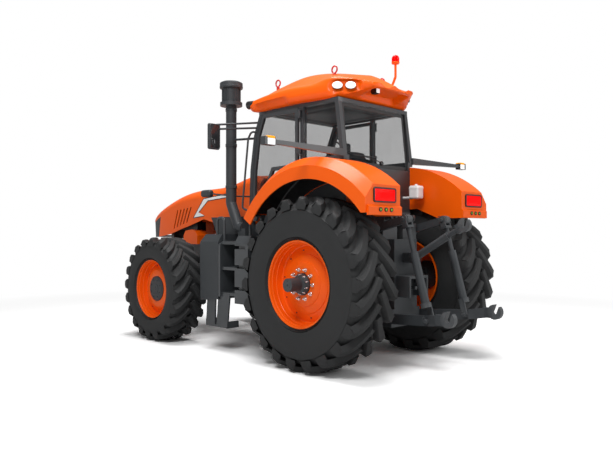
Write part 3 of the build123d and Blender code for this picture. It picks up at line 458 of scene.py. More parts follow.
# the outline of a plate with round corners
def roundRect(halfA, halfB, corner, steps=5):
    ring = []
    for a, b, start in ((1, 1, 0), (-1, 1, 90), (-1, -1, 180), (1, -1, 270)):
        for i in range(steps + 1):
            turn = radians(start + 90 * i / steps)
            ring.append((a * (halfA - corner) + corner * cos(turn), b * (halfB - corner) + corner * sin(turn)))
    return ring


# a moulded plate or frame: loops are (inset, height) over its outline, u and v lie across it
def panel(shape, centre, u, v, halfA, halfB, corner, loops, cap=True):
    u, v = Vector(u).normalized(), Vector(v).normalized()
    out = u.cross(v)
    rows = []
    for inset, height in loops:
        ring = roundRect(halfA - inset, halfB - inset, max(corner - inset, 0.002))
        rows.append([Vector(centre) + u * a + v * b + out * height for a, b in ring])
    shape.rows(rows, True, False, cap)


# pressed steel rims: flange, two steps in the barrel, a weld line and a ribbed disc; rows are (out, radius)
rearRim = {"holes": 10, "holeRing": 0.402, "holeOut": 0.1225, "profile": [
    (-0.292, 0.508), (-0.292, 0.492), (-0.050, 0.478), (0.050, 0.472), (0.088, 0.455), (0.185, 0.212), (0.189, 0.205),
    (0.189, 0.131), (0.205, 0.131), (0.205, 0.212), (0.200, 0.224), (0.182, 0.262), (0.174, 0.268), (0.142, 0.350),
    (0.135, 0.356), (0.112, 0.432), (0.104, 0.450), (0.109, 0.463), (0.124, 0.470), (0.185, 0.474), (0.192, 0.4805),
    (0.246, 0.484), (0.252, 0.491), (0.264, 0.4935), (0.278, 0.495), (0.285, 0.4975), (0.290, 0.503), (0.293, 0.511),
    (0.291, 0.517), (0.286, 0.519), (0.281, 0.516), (0.280, 0.509), (-0.292, 0.508)]}
frontRim = {"holes": 8, "holeRing": 0.350, "holeOut": 0.0835, "profile": [
    (-0.2285, 0.440), (-0.2285, 0.424), (-0.020, 0.410), (0.000, 0.404), (0.038, 0.392), (0.110, 0.275),
    (0.114, 0.268), (0.114, 0.191), (0.130, 0.191), (0.130, 0.270), (0.126, 0.282), (0.100, 0.326),
    (0.094, 0.332), (0.066, 0.378), (0.058, 0.393), (0.063, 0.402), (0.076, 0.407), (0.130, 0.411),
    (0.136, 0.4165), (0.186, 0.420), (0.192, 0.426), (0.214, 0.4275), (0.222, 0.431), (0.2275, 0.437),
    (0.2285, 0.440), (-0.2285, 0.440)]}
for end, sideName, sign, centre, body in wheels:
    spec = rearRim if end == "rear" else frontRim
    pressed = Shape()
    pressed.turned(spec["profile"], centre, (0, sign, 0), 112, False, False)
    piece = addPiece(f"{end}_pressed_rim_{sideName}", pressed, "orange", body, 24)
    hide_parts(f"{end}_rim_{sideName}")
    plugs = Shape()
    for i in range(spec["holes"]):
        a = tau * (i + 0.25) / spec["holes"]
        spot = centre + Vector((sin(a), 0, cos(a))) * spec["holeRing"]
        spot.y += sign * (spec["holeOut"] + 0.001)
        plugs.turned([(-0.004, 0.0085), (0.0035, 0.0085), (0.0045, 0.006)], spot, (0, sign, 0), 12)
    addPiece(f"{end}_rim_plugs_{sideName}", plugs, "black", body, 30)
print("rims made")


# hub ends: a ring of bolts on the front hubs, a centre drilling on the rear bars
frontHub = {"bolts": 8, "ring": 0.135, "size": 0.010, "tall": 0.012, "face": 1.300}
rearBar = {"face": 1.495, "holes": 3, "ring": 0.045}
for end, sideName, sign, centre, body in wheels:
    ends = Shape()
    if end == "front":
        face = Vector((centre.x, sign * frontHub["face"], centre.z))
        for i in range(frontHub["bolts"]):
            a = tau * (i + 0.5) / frontHub["bolts"]
            spot = face + Vector((sin(a), 0, cos(a))) * frontHub["ring"]
            nut(ends, spot, (0, sign, 0), frontHub["size"], frontHub["tall"])
        ends.turned([(0, 0.075), (0.004, 0.075), (0.007, 0.071), (0.007, 0.030), (0.012, 0.026), (0.013, 0.012)],
                    face, (0, sign, 0), 40)
        addPiece(f"front_hub_bolts_{sideName}", ends, "cast", body, 25)
    else:
        face = Vector((centre.x, sign * rearBar["face"], centre.z))
        ends.turned([(-0.003, 0.013), (0.0012, 0.013), (0.0016, 0.010)], face, (0, sign, 0), 20)
        for i in range(rearBar["holes"]):
            a = tau * i / rearBar["holes"]
            spot = face + Vector((sin(a), 0, cos(a))) * rearBar["ring"]
            ends.turned([(-0.003, 0.006), (0.0012, 0.006)], spot, (0, sign, 0), 12)
        addPiece(f"rear_bar_drilling_{sideName}", ends, "black", body, 25)
print("hub ends made")


# white flash along the hood's side with a thin dark edge, laid on the skin
hoodFlash = {"lift": 0.0022, "edge": 0.013,
             "outer": [(3.062, 1.913), (3.377, 1.884), (3.086, 2.190), (2.530, 2.238), (2.330, 2.240)],
             "inner": [(3.070, 1.918), (3.225, 1.971), (2.971, 2.151), (2.520, 2.183), (2.400, 2.190)]}


def onHood(x, z, sign, lift):
    return skinPoint("hood", row(x, sign * 1.2, z), (0, -sign, 0)) + Vector((0, sign, 0)) * lift


def ribbon(shape, line, wide, sign, lift):
    rows = []
    for i in range(len(line) - 1):
        (x0, z0), (x1, z1) = line[i], line[i + 1]
        long = ((x1 - x0) ** 2 + (z1 - z0) ** 2) ** 0.5
        side = (-(z1 - z0) / long * wide / 2, (x1 - x0) / long * wide / 2)
        for k in range(9):
            x, z = x0 + (x1 - x0) * k / 8, z0 + (z1 - z0) * k / 8
            rows.append([onHood(x + side[0] * t, z + side[1] * t, sign, lift)
                         for t in ((-1, 1) if sign > 0 else (1, -1))])
    shape.rows(rows)


for sideName, sign in sides:
    flash, edge = Shape(), Shape()
    rows = []
    for i in range(len(hoodFlash["outer"]) - 1):
        for k in range(9):
            a, b = [[p0 + (p1 - p0) * (k / 8) for p0, p1 in zip(line[i], line[i + 1])]
                    for line in (hoodFlash["outer"], hoodFlash["inner"])]
            rows.append([onHood(a[0] + (b[0] - a[0]) * w / 4, a[1] + (b[1] - a[1]) * w / 4, sign, hoodFlash["lift"])
                         for w in (range(5) if sign < 0 else range(4, -1, -1))])
    flash.rows(rows)
    addPiece(f"hood_flash_{sideName}", flash, "white", "engine_hood", 40)
    for line in (hoodFlash["outer"], hoodFlash["inner"][1:]):
        ribbon(edge, line, hoodFlash["edge"], sign, hoodFlash["lift"] + 0.0008)
    addPiece(f"hood_flash_edge_{sideName}", edge, "black", "engine_hood", 40)
print("hood flash made")


# tail lamps: a dark frame and a crowned red cover, with three round lamps on the band below
tailLamp = {"place": (-0.960, 0.920, 2.0554), "frame": (0.197, 0.083), "cover": (0.180, 0.066), "corner": 0.028}
bandLamp = {"x": -0.986, "z": 1.893, "y": (0.835, 0.930, 1.025), "radius": 0.024}


def lampDome(shape, centre, way, radius, tall):
    shape.turned([(-0.004, radius), (tall * 0.4, radius), (tall * 0.72, radius * 0.86), (tall * 0.92, radius * 0.55),
                  (tall, radius * 0.18)], centre, way, 32)


# press round lamps into ovals about a height
def flatten(shape, z, share):
    for point in shape.points:
        point.z = z + (point.z - z) * share


def lampCollar(shape, centre, way, inner, outer, tall):
    shape.turned([(-0.004, outer), (tall * 0.8, outer), (tall, outer * 0.97), (tall, inner), (-0.004, inner)],
                 centre, way, 32, False, False)


for sideName, sign in sides:
    x, y, z = tailLamp["place"]
    frameShape, cover, collars, lights = Shape(), Shape(), Shape(), Shape()
    panel(frameShape, row(x, sign * y, z), (0, -1, 0), (0, 0, 1), *tailLamp["frame"], tailLamp["corner"],
          [(0, -0.002), (0, 0.010), (0.005, 0.016), (0.015, 0.016), (0.019, 0.004)], False)
    panel(cover, row(x - 0.004, sign * y, z), (0, -1, 0), (0, 0, 1), *tailLamp["cover"], 0.020,
          [(0, 0), (0, 0.005), (0.005, 0.009), (0.030, 0.0115), (0.055, 0.012)])
    addPiece(f"tail_lamp_frame_{sideName}", frameShape, "black", "chassis")
    addPiece(f"tail_lamp_cover_{sideName}", cover, "red", "chassis")
    for place in bandLamp["y"]:
        spot = row(bandLamp["x"], sign * place, bandLamp["z"])
        lampCollar(collars, spot, (-1, 0, 0), bandLamp["radius"] * 0.56, bandLamp["radius"], 0.012)
        lampDome(lights, spot, (-1, 0, 0), bandLamp["radius"] * 0.58, 0.011)
    addPiece(f"band_lamp_collars_{sideName}", collars, "black", "chassis")
    addPiece(f"band_lamps_{sideName}", lights, "green", "chassis")
print("tail lamps made")


# roof lamps: oval pairs at the rear corners, one at each front corner, a small one at the rear
roofLamp = {"middle": (-0.080, 0.620, 3.458), "apart": 0.082, "out": 0.045, "radius": 0.063,
            "front": (1.560, 0.790, 3.430), "frontRadius": 0.050, "oval": 0.68, "small": (-0.240, 0.207, 3.430)}
collars, lights = Shape(), Shape()
for sign in (1, -1):
    way = Vector((-1, sign, 0)).normalized()
    across = Vector((-1, -sign, 0)).normalized()
    for place in (-1, 1):
        x, y, z = roofLamp["middle"]
        spot = row(x, sign * y, z) + way * roofLamp["out"] + across * roofLamp["apart"] * place
        lampCollar(collars, spot, way, roofLamp["radius"] * 0.96, roofLamp["radius"] * 1.06, 0.006)
        lampDome(lights, spot, way, roofLamp["radius"] * 1.02, 0.020)
flatten(collars, roofLamp["middle"][2], roofLamp["oval"])
flatten(lights, roofLamp["middle"][2], roofLamp["oval"])
for sign in (1, -1):
    x, y, z = roofLamp["front"]
    lampCollar(collars, row(x, sign * y, z), (1, 0, 0), roofLamp["frontRadius"], 0.058, 0.010)
    lampDome(lights, row(x, sign * y, z), (1, 0, 0), roofLamp["frontRadius"], 0.012)
addPiece("roof_lamp_collars", collars, "black", "chassis")
addPiece("roof_lamps", lights, "clear", "chassis")
print("roof lamps made")


# marker lamps: white block lens with an amber top on each arm's end
marker = {"x": -0.150, "y": 1.902, "z": 2.630, "half": (0.046, 0.056), "tall": 0.034, "amber": 0.030}
white, amber = Shape(), Shape()
for sign in (1, -1):
    spot = row(marker["x"], sign * marker["y"], marker["z"])
    panel(white, spot - Vector((0, 0, marker["tall"])), (1, 0, 0), (0, 1, 0), *marker["half"], 0.012,
          [(0.006, 0), (0, 0.006), (0, 2 * marker["tall"] - 0.004), (0.002, 2 * marker["tall"])])
    panel(amber, spot + Vector((0, 0, marker["tall"])), (1, 0, 0), (0, 1, 0), *marker["half"], 0.012,
          [(0.002, 0), (0, 0.003), (0, marker["amber"] - 0.010), (0.006, marker["amber"] - 0.003),
           (0.014, marker["amber"])])
addPiece("marker_lenses", white, "clear", "chassis")
addPiece("marker_lens_tops", amber, "amber", "chassis")
print("marker lamps made")


# mirror glass in a raised rim
mirrorHead = {"place": (1.630, 1.330, 2.945), "half": (0.084, 0.168), "corner": 0.030}
for sideName, sign in sides:
    x, y, z = mirrorHead["place"]
    rimShape, plate = Shape(), Shape()
    panel(rimShape, row(x, sign * y, z), (0, -1, 0), (0, 0, 1), *mirrorHead["half"], mirrorHead["corner"],
          [(0, -0.002), (0, 0.005), (0.003, 0.008), (0.009, 0.008), (0.012, 0.002)], False)
    panel(plate, row(x, sign * y, z), (0, -1, 0), (0, 0, 1), *mirrorHead["half"], mirrorHead["corner"],
          [(0.011, 0), (0.011, 0.003), (0.013, 0.004)])
    addPiece(f"mirror_rim_{sideName}", rimShape, "slate", "chassis")
    addPiece(f"mirror_plate_{sideName}", plate, "mirror", "chassis")
print("mirrors made")


# air stack: clamps, fins round the cap and a crowned lid
airStack = {"x": 1.830, "y": 0.900, "clamps": (2.290, 2.880, 3.385), "fins": 30, "finRing": 0.129, "finZ": 3.590,
            "finSize": (0.012, 0.007, 0.176)}
fins = Shape()
foot = row(airStack["x"], airStack["y"], 0)
for z in airStack["clamps"]:
    fins.turned([(z - 0.022, 0.074), (z - 0.020, 0.082), (z + 0.020, 0.082), (z + 0.022, 0.074)],
                foot, (0, 0, 1), 48, False, False)
    fins.box(foot + Vector((-0.092, 0, z)), (0.030, 0.026, 0.030))
for i in range(airStack["fins"]):
    a = tau * i / airStack["fins"]
    spot = foot + Vector((airStack["finRing"] * cos(a), airStack["finRing"] * sin(a), airStack["finZ"]))
    fins.box(spot, airStack["finSize"], Matrix.Rotation(a, 3, "Z"), 0.002)
fins.turned([(3.756, 0.163), (3.768, 0.158), (3.782, 0.130), (3.790, 0.080), (3.793, 0.020)],
            foot, (0, 0, 1), 48, False, True)
fins.turned([(3.700, 0.1615), (3.704, 0.1650), (3.716, 0.1650), (3.720, 0.1615)],
            foot, (0, 0, 1), 48, False, False)
addPiece("stack_clamps_fins", fins, "slate", "chassis")
print("air stack dressed")


# rear window: printed border, wiper and headlining behind it
rearWindow = {"low": (-0.118, 2.482), "high": (-0.032, 3.268), "half": 0.634, "border": 0.045}
lowX, lowZ = rearWindow["low"]
highX, highZ = rearWindow["high"]
up = Vector((highX - lowX, 0, highZ - lowZ))
out = Vector((0, -1, 0)).cross(up.normalized())
middle = row((lowX + highX) / 2, 0, (lowZ + highZ) / 2) + out * 0.0045
border = Shape()
panel(border, middle, (0, -1, 0), up, rearWindow["half"], up.length / 2 - 0.004, 0.060,
      [(0, 0), (0, 0.004), (rearWindow["border"], 0.004), (rearWindow["border"] + 0.003, 0)], False)
addPiece("rear_window_border", border, "black", "chassis")
wiper = Shape()
pivot = middle - up * 0.42 + Vector((0, -0.06, 0))
wiper.turned([(-0.004, 0.030), (0.016, 0.030), (0.026, 0.022), (0.028, 0.008)], pivot, out, 24)
wiper.tube([pivot + out * 0.020, pivot + out * 0.030 + up * 0.03 + Vector((0, 0.12, 0)),
            pivot + out * 0.022 + up * 0.08 + Vector((0, 0.36, 0))], 0.006, 8)
wiper.box(pivot + out * 0.016 + up * 0.085 + Vector((0, 0.33, 0)), (0.014, 0.46, 0.012))
addPiece("rear_wiper", wiper, "black", "chassis")
darkSheet = Shape()
panel(darkSheet, row(0.655, 0, 3.290), (1, 0, 0), (0, -1, 0), 0.640, 0.610, 0.060,
      [(0, 0), (0, 0.010), (0.020, 0.020), (0.120, 0.026), (0.150, 0.018), (0.240, 0.018), (0.260, 0.026)])
addPiece("cab_headlining", darkSheet, "slate", "chassis")
print("rear window dressed")


# door handles and their catch plates
doorHandle = {"x": 1.452, "y": 0.770, "z": 2.060}
for sideName, sign in sides:
    handle = Shape()
    x, y, z = doorHandle["x"], doorHandle["y"], doorHandle["z"]
    panel(handle, row(x, sign * y, z), (1, 0, 0) if sign < 0 else (-1, 0, 0), (0, 0, 1), 0.022, 0.075, 0.012,
          [(0, -0.001), (0, 0.006), (0.004, 0.010)])
    grip = ((0, 0.004, 0.055), (0.004, 0.030, 0.045), (0.006, 0.038, 0), (0.004, 0.030, -0.045), (0, 0.004, -0.055))
    handle.tube([row(x - back, sign * (y + off), z + rise) for back, off, rise in grip], 0.008, 10)
    addPiece(f"door_handle_{sideName}", handle, "black", f"cab_door_{sideName}")
print("door handles made")


# white lamp box: a lid line and a knob on top
lampBox = {"place": (-0.3575, -0.500), "lid": 2.218, "half": (0.0755, 0.075)}
lid = Shape()
x, y = lampBox["place"]
panel(lid, row(x, y, lampBox["lid"]), (1, 0, 0), (0, 1, 0), *lampBox["half"], 0.026,
      [(0.002, 0), (-0.001, 0.004), (-0.001, 0.022), (0.004, 0.036), (0.016, 0.046), (0.034, 0.050)])
lid.turned([(2.266, 0.020), (2.276, 0.020), (2.284, 0.014), (2.286, 0.004)], row(x, y, 0), (0, 0, 1), 24)
addPiece("lamp_box_lid", lid, "white", "chassis")
clip = Shape()
clip.turned([(0, 0.026), (0.020, 0.026), (0.024, 0.020)], row(-0.290, -0.500, 2.112), (1, 0, 0), 20)
addPiece("lamp_box_clip", clip, "black", "chassis")
print("lamp box dressed")


# dust caps with pull rings on the couplers
coupler = {"x": -0.510, "z": 1.835, "pitch": 0.090, "count": 6}
caps = Shape()
for i in range(coupler["count"]):
    spot = row(coupler["x"], coupler["pitch"] * (i - 2.5), coupler["z"])
    caps.turned([(-0.012, 0.030), (0.010, 0.030), (0.016, 0.026), (0.018, 0.012)], spot, (-1, 0, 0), 24)
    caps.turned([(-0.034, 0.031), (-0.030, 0.0355), (-0.022, 0.0355), (-0.018, 0.031)],
                spot, (-1, 0, 0), 24, False, False)
    caps.box(spot + Vector((-0.018, 0, -0.026)), (0.008, 0.020, 0.036))
addPiece("coupler_caps", caps, "black", "chassis")
print("couplers dressed")


# pin heads and retaining rings on the hitch
hitch = {"armEnd": (-0.865, 1.800), "linkPin": (-1.190, 0.640), "y": 0.397,
         "topPivot": (-0.700, 1.330), "topY": 0.060, "linkPivot": (-0.430, 0.590), "linkY": 0.362}


def pinHead(shape, spot, way, radius):
    shape.turned([(-0.002, radius * 1.3), (0.006, radius * 1.3), (0.008, radius), (0.020, radius),
                  (0.024, radius * 0.8)], spot, way, 24)
    way = Vector(way).normalized()
    side = way.orthogonal().normalized()
    middle = Vector(spot) + way * 0.013 + side * radius * 1.45
    ring = [middle + (side * cos(tau * i / 20) + way.cross(side) * sin(tau * i / 20)) * radius * 0.8
            for i in range(21)]
    shape.tube(ring, 0.003, 6)


rodPins, pivotPins = Shape(), Shape()
for sign in (1, -1):
    for way in (1, -1):
        x, z = hitch["armEnd"]
        pinHead(rodPins, row(x, sign * hitch["y"] + way * 0.062, z), (0, way, 0), 0.026)
        x, z = hitch["linkPin"]
        off = 0.068 if way * sign > 0 else 0.062
        pinHead(rodPins, row(x, sign * hitch["y"] + way * off, z), (0, way, 0), 0.024)
    x, z = hitch["linkPivot"]
    pinHead(pivotPins, row(x, sign * hitch["linkY"], z), (0, sign, 0), 0.028)
    x, z = hitch["topPivot"]
    pinHead(pivotPins, row(x, sign * hitch["topY"], z), (0, sign, 0), 0.024)
addPiece("lift_rod_pins", rodPins, "cast", "hitch_rods", 28)
addPiece("link_pivot_pins", pivotPins, "cast", "chassis", 28)
print("hitch pins made")


# raised grips on the step treads
tread = {"x": (1.395, 1.705), "bars": 6, "across": 7, "size": (0.026, 0.010, 0.010), "turn": 0.5,
         "levels": ((0.820, 0.915, 1.140), (1.170, 0.915, 1.140), (1.520, 0.690, 1.140))}
grips = Shape()
for z, near, far in tread["levels"]:
    for i in range(tread["bars"]):
        y = near + (far - near) * (i + 0.5) / tread["bars"]
        for k in range(tread["across"]):
            x = tread["x"][0] + (tread["x"][1] - tread["x"][0]) * (k + (0.5 if i % 2 else 0.25)) / tread["across"]
            turn = tread["turn"] if (i + k) % 2 else -tread["turn"]
            grips.box(row(x, y, z + 0.002), tread["size"], Matrix.Rotation(turn, 3, "Z"), 0.002)
addPiece("step_grips", grips, "slate", "chassis")
print("steps dressed")


# painted shade: near-black sheets inside the fender arches where the orange underside lies in shadow; the line is (y,
# radius) from the arch's centre
fenderShadeSheet = {"z": 1.106, "from": 34.0, "to": 131.0, "steps": 40,
                "line": [(0.6600, 1.172), (0.6600, 1.400), (0.6680, 1.411), (1.0950, 1.411), (1.2270, 1.304),
                         (1.2270, 1.200)],
                "rear": -0.9385, "rearLine": ((1.872, 1.224), (1.980, 1.220), (2.060, 1.150), (2.150, 1.070))}
for sideName, sign in sides:
    darkSheet = Shape()
    rows = []
    for i in range(fenderShadeSheet["steps"] + 1):
        a = radians(fenderShadeSheet["from"] + (fenderShadeSheet["to"] - fenderShadeSheet["from"]) * i / fenderShadeSheet["steps"])
        rows.append([row(r * cos(a), sign * y, fenderShadeSheet["z"] + r * sin(a)) for y, r in fenderShadeSheet["line"]])
    darkSheet.rows(rows)
    darkSheet.rows([[row(fenderShadeSheet["rear"], sign * y, z) for y in (0.662, 0.88, far)]
                 for z, far in fenderShadeSheet["rearLine"]])
    # the black sheet stands in for the shadow under the fender
    addPiece(f"fender_painted_shade_{sideName}", darkSheet, "black", "chassis")
print("fender painted_shade_sheets made")


# radiator screen behind the nose slats
radiator = {"x": 4.250, "half": (0.340, 0.150), "z": 1.690, "fins": 26}
core = Shape()
panel(core, row(radiator["x"], 0, radiator["z"]), (0, 1, 0), (0, 0, 1), *radiator["half"], 0.020,
      [(0.004, -0.050), (0, -0.046), (0, 0.026), (0.012, 0.030), (0.016, 0.022)])
for i in range(radiator["fins"]):
    y = radiator["half"][0] * 1.86 * ((i + 0.5) / radiator["fins"] - 0.5)
    core.box(row(radiator["x"] + 0.024, y, radiator["z"]), (0.008, 0.006, radiator["half"][1] * 1.84), bevel=0.001)
addPiece("radiator_screen", core, "black", "chassis")
print("radiator screen made")


# dark screens behind the slanted vents of the hood
ventScreen = {"middle": (3.710, 0.392, 1.8875), "size": (0.620, 0.006, 0.395)}
screens = Shape()
for sign in (1, -1):
    x, y, z = ventScreen["middle"]
    screens.box(row(x, sign * y, z), ventScreen["size"], bevel=0.002)
addPiece("vent_screens", screens, "black", "engine_hood")
print("vent screens made")


# moulded roof over the plain one; stations are (x, half width, lower edge, crown)
cabRoof = {"stations": [(-0.380, 0.400, 3.440, 3.512), (-0.150, 0.625, 3.370, 3.640), (0.050, 0.765, 3.320, 3.722),
                        (0.630, 0.850, 3.320, 3.800), (1.100, 0.866, 3.320, 3.748), (1.450, 0.846, 3.320, 3.655),
                        (1.600, 0.780, 3.380, 3.520)],
           "shoulder": 0.47, "drop": 0.062, "scoop": (0.190, 0.068),     # scoop: half width, half height
           "pocket": (0.360, -0.350, -0.070, 0.060), "pocketTop": 3.447,  # pocket: half width, rear, front, rise
           "groove": (0.700, 1.420, 0.050),                               # groove: start, stop, depth
           "rear": (-0.396, 0.80), "front": (1.618, 0.84)}                # ends: x, share of the last loop


# a smooth value at t through uneven knots
def smoothAt(t, knots, values):
    i = max(k for k in range(len(knots) - 1) if t >= knots[k] or k == 0)
    span = knots[i + 1] - knots[i]
    w = (t - knots[i]) / span
    slopes = []
    for k in (i, i + 1):
        a, b = max(k - 1, 0), min(k + 1, len(knots) - 1)
        slopes.append((values[b] - values[a]) / (knots[b] - knots[a]) * span)
    return ((2 * w ** 3 - 3 * w ** 2 + 1) * values[i] + (w ** 3 - 2 * w ** 2 + w) * slopes[0]
            + (3 * w ** 2 - 2 * w ** 3) * values[i + 1] + (w ** 3 - w ** 2) * slopes[1])


def ease(low, high, value):
    w = min(max((value - low) / (high - low), 0), 1)
    return w * w * (3 - 2 * w)


def roofLoop(x, shrink=1.0):
    knots = [s[0] for s in cabRoof["stations"]]
    half, low, top = [smoothAt(x, knots, [s[k] for s in cabRoof["stations"]]) for k in (1, 2, 3)]
    middle = (low + top) / 2
    full = ease(0.450, -0.050, x)
    half, low, top = half - (1 - shrink) * 0.5, middle + (low - middle) * shrink, middle + (top - middle) * shrink
    lip = min(0.070, 0.4 * (top - low))
    ways = [0, 0.10, 0.32, 0.62, 1]
    across = [half, half * (0.972 + 0.018 * full), half * (0.86 + 0.07 * full), half * 0.55, 0]
    shoulder = low + (cabRoof["shoulder"] + 0.16 * full) * (top - low) + 0.012
    up = [low + lip, low + lip + 0.30 * (top - low - lip) * 0.9, shoulder, top - cabRoof["drop"] * shrink, top]
    right = [((half - 0.05) * k / 14, low) for k in range(1, 15)] + [(half - 0.02, low + lip * 0.35)]
    right += [(smoothAt(k / 34, ways, across), smoothAt(k / 34, ways, up)) for k in range(34)]
    return [(0, low)] + right + [(0, top)] + [(-y, z) for y, z in reversed(right)]


# lamp hollows at the rear corners, a pocket under the rear edge and a long groove low on each side
def roofPress(x, y, z):
    sign = 1 if y > 0 else -1
    mx, my, mz = roofLamp["middle"]
    away = ((mx - x) + (abs(y) - my)) * 0.7071
    across = ((mx - x) - (abs(y) - my)) * 0.7071
    wide, tall = cabRoof["scoop"]
    oval = ((across / wide) ** 4 + ((z - mz) / tall) ** 4) ** 0.25
    if away > 0:
        push = away * ease(1.22, 0.96, oval) * 0.7071
        x, y = x + push, y - sign * push
    half, rear, front, rise = cabRoof["pocket"]
    if z < cabRoof["pocketTop"]:
        z += rise * ease(rear, rear + 0.030, x) * ease(front, front - 0.040, x) * ease(half, half - 0.070, abs(y))
    start, stop, deep = cabRoof["groove"]
    hollow = ease(start, start + 0.10, x) * ease(stop, stop - 0.08, x)
    hollow *= ease(3.415, 3.385, z) * ease(0.70, 0.76, abs(y))
    return row(x, y - sign * deep * hollow, z)


roofSkin = Shape()
places = [-0.380 + 0.0125 * i for i in range(49)] + [0.220 + 0.030 * i for i in range(1, 47)]
loops = [[(x, y, z) for y, z in roofLoop(x)] for x in places]
x, share = cabRoof["rear"]
loops.insert(0, [(x, y, z) for y, z in roofLoop(places[0], share)])
x, share = cabRoof["front"]
loops.append([(x, y, z) for y, z in roofLoop(places[-1], share)])
roofSkin.rows([[roofPress(*point) for point in loop] for loop in loops], True, True, True)
roofPiece = addPiece("moulded_roof", roofSkin, "orange", "chassis", 40)
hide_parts("cab_roof")
print("roof made")


# lamp pods, lifting rings and the beacon's foot on the roof
roofEyes = {"places": ((1.300, 3.745), (0.210, 3.740)), "y": 0.480, "radius": 0.045, "thick": 0.0105}
beaconFoot = {"stalk": ((0.075, -0.445, 3.500), (0.045, -0.455, 3.600), (-0.005, -0.472, 3.700),
                        (-0.024, -0.478, 3.760)), "thick": 0.0168,
              "saucer": [(3.935, 0.020), (3.945, 0.050), (3.962, 0.056), (3.968, 0.053)]}
pods, eyes = Shape(), Shape()
for sign in (1, -1):
    way, across = Vector((-1, sign, 0)).normalized(), Vector((-1, -sign, 0)).normalized()
    x, y, z = roofLamp["middle"]
    for place in (-1, 1):
        pods.turned([(-0.050, 0.050), (-0.010, 0.064), (0.043, 0.066), (0.045, 0.060)],
                    row(x, sign * y, z) + across * roofLamp["apart"] * place, way, 32)
flatten(pods, roofLamp["middle"][2], roofLamp["oval"])
for sign in (1, -1):
    x, y, z = roofLamp["front"]
    pods.turned([(-0.170, 0.030), (-0.120, 0.048), (-0.004, 0.058), (0.0, 0.054)], row(x, sign * y, z), (1, 0, 0), 32)
    for x, z in roofEyes["places"]:
        middle = row(x, sign * roofEyes["y"], z)
        ring = [middle + Vector((cos(tau * i / 28), 0, sin(tau * i / 28))) * roofEyes["radius"] for i in range(29)]
        eyes.tube(ring, roofEyes["thick"], 12)
        eyes.turned([(-0.120, 0.022), (-0.052, 0.022), (-0.046, 0.018), (-0.040, 0.012)], middle, (0, 0, 1), 20)
x, y, z = roofLamp["small"]
pods.box(row(x, y, z), (0.090, 0.085, 0.070), bevel=0.010)
addPiece("roof_lamp_pods", pods, "black", "chassis")
eyePiece = addPiece("lifting_rings", eyes, "redPaint", "chassis")
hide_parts("lifting_eyes")
stalkFoot = Shape()
stalkFoot.tube([row(*point) for point in beaconFoot["stalk"]], beaconFoot["thick"], 16)
stalkFoot.turned(beaconFoot["saucer"], row(-0.030, -0.480, 0), (0, 0, 1), 32, True, False)
addPiece("beacon_foot", stalkFoot, "orange", "chassis")
smallLight = Shape()
panel(smallLight, row(x - 0.045, y, z), (0, -1, 0), (0, 0, 1), 0.030, 0.026, 0.006,
      [(0, 0), (0, 0.004), (0.004, 0.007)])
addPiece("small_roof_lamp", smallLight, "clear", "chassis")
print("roof dressed")


# driver's seat: stuffed cushion and back on a bellows base, swollen by a short cloth run
seatLook = {"cushion": {"middle": (0.620, 0.0, 2.004), "half": (0.250, 0.250, 0.060), "crown": 0.012, "lean": 0.0},
            "back": {"middle": (0.315, 0.0, 2.372), "half": (0.052, 0.238, 0.335), "crown": 0.0, "lean": -0.139},
            "rest": {"middle": (0.262, 0.0, 2.668), "half": (0.040, 0.150, 0.052), "crown": 0.0, "lean": -0.139},
            "voxel": 0.011, "pressure": 4, "steps": 20, "cap": 0.016,
            "channels": (-0.11, 0.11), "channelHalf": 0.014, "channelDeep": 0.012, "fill": 0.75}


def stuffedForm(spec, steps=14):
    half, points, faces, known = spec["half"], [], [], {}
    for axis in range(3):
        for side in (-1, 1):
            for i in range(steps):
                for k in range(steps):
                    ring = []
                    for a, b in ((i, k), (i + 1, k), (i + 1, k + 1), (i, k + 1)):
                        p = [0, 0, 0]
                        p[axis], p[(axis + 1) % 3], p[(axis + 2) % 3] = side, 2 * a / steps - 1, 2 * b / steps - 1
                        key = tuple(round(v, 4) for v in p)
                        if key not in known:
                            known[key] = len(points)
                            points.append(Vector(p))
                        ring.append(known[key])
                    faces.append(ring if side > 0 else ring[::-1])
    turn = Matrix.Rotation(spec["lean"], 3, "Y")
    made = []
    for p in points:
        size = sum(abs(v) ** 5 for v in p) ** 0.2
        q = Vector([v / size * h for v, h in zip(p, half)])
        q.z += spec["crown"] * (1 - (q.x / half[0]) ** 2) * (1 - (q.y / half[1]) ** 2) * (1 if q.z > 0 else 0)
        made.append(row(*spec["middle"]) + turn @ q)
    shape = Shape()
    shape.add(made, faces)
    return shape


def swell(piece):
    mesh = piece.data
    remesh = piece.modifiers.new("even", "REMESH")
    remesh.mode = "VOXEL"
    remesh.voxel_size = seatLook["voxel"]
    bpy.context.view_layer.update()
    even = bpy.data.meshes.new_from_object(piece.evaluated_get(bpy.context.evaluated_depsgraph_get()))
    piece.modifiers.clear()
    piece.data = even
    bpy.data.meshes.remove(mesh)
    start = [v.co.copy() for v in even.vertices]
    cloth = piece.modifiers.new("filling", "CLOTH")
    cloth.settings.use_pressure = True
    cloth.settings.uniform_pressure_force = seatLook["pressure"]
    cloth.settings.effector_weights.gravity = 0
    cloth.settings.quality = 4
    for step in range(1, seatLook["steps"] + 1):
        bpy.context.scene.frame_set(step)
    done = piece.evaluated_get(bpy.context.evaluated_depsgraph_get()).data
    moved = [v.co.copy() for v in done.vertices]
    piece.modifiers.clear()
    bpy.context.scene.frame_set(1)
    for vertex, a, b in zip(even.vertices, start, moved):
        step = b - a
        vertex.co = a + step * min(1, seatLook["cap"] / max(step.length, 1e-6))


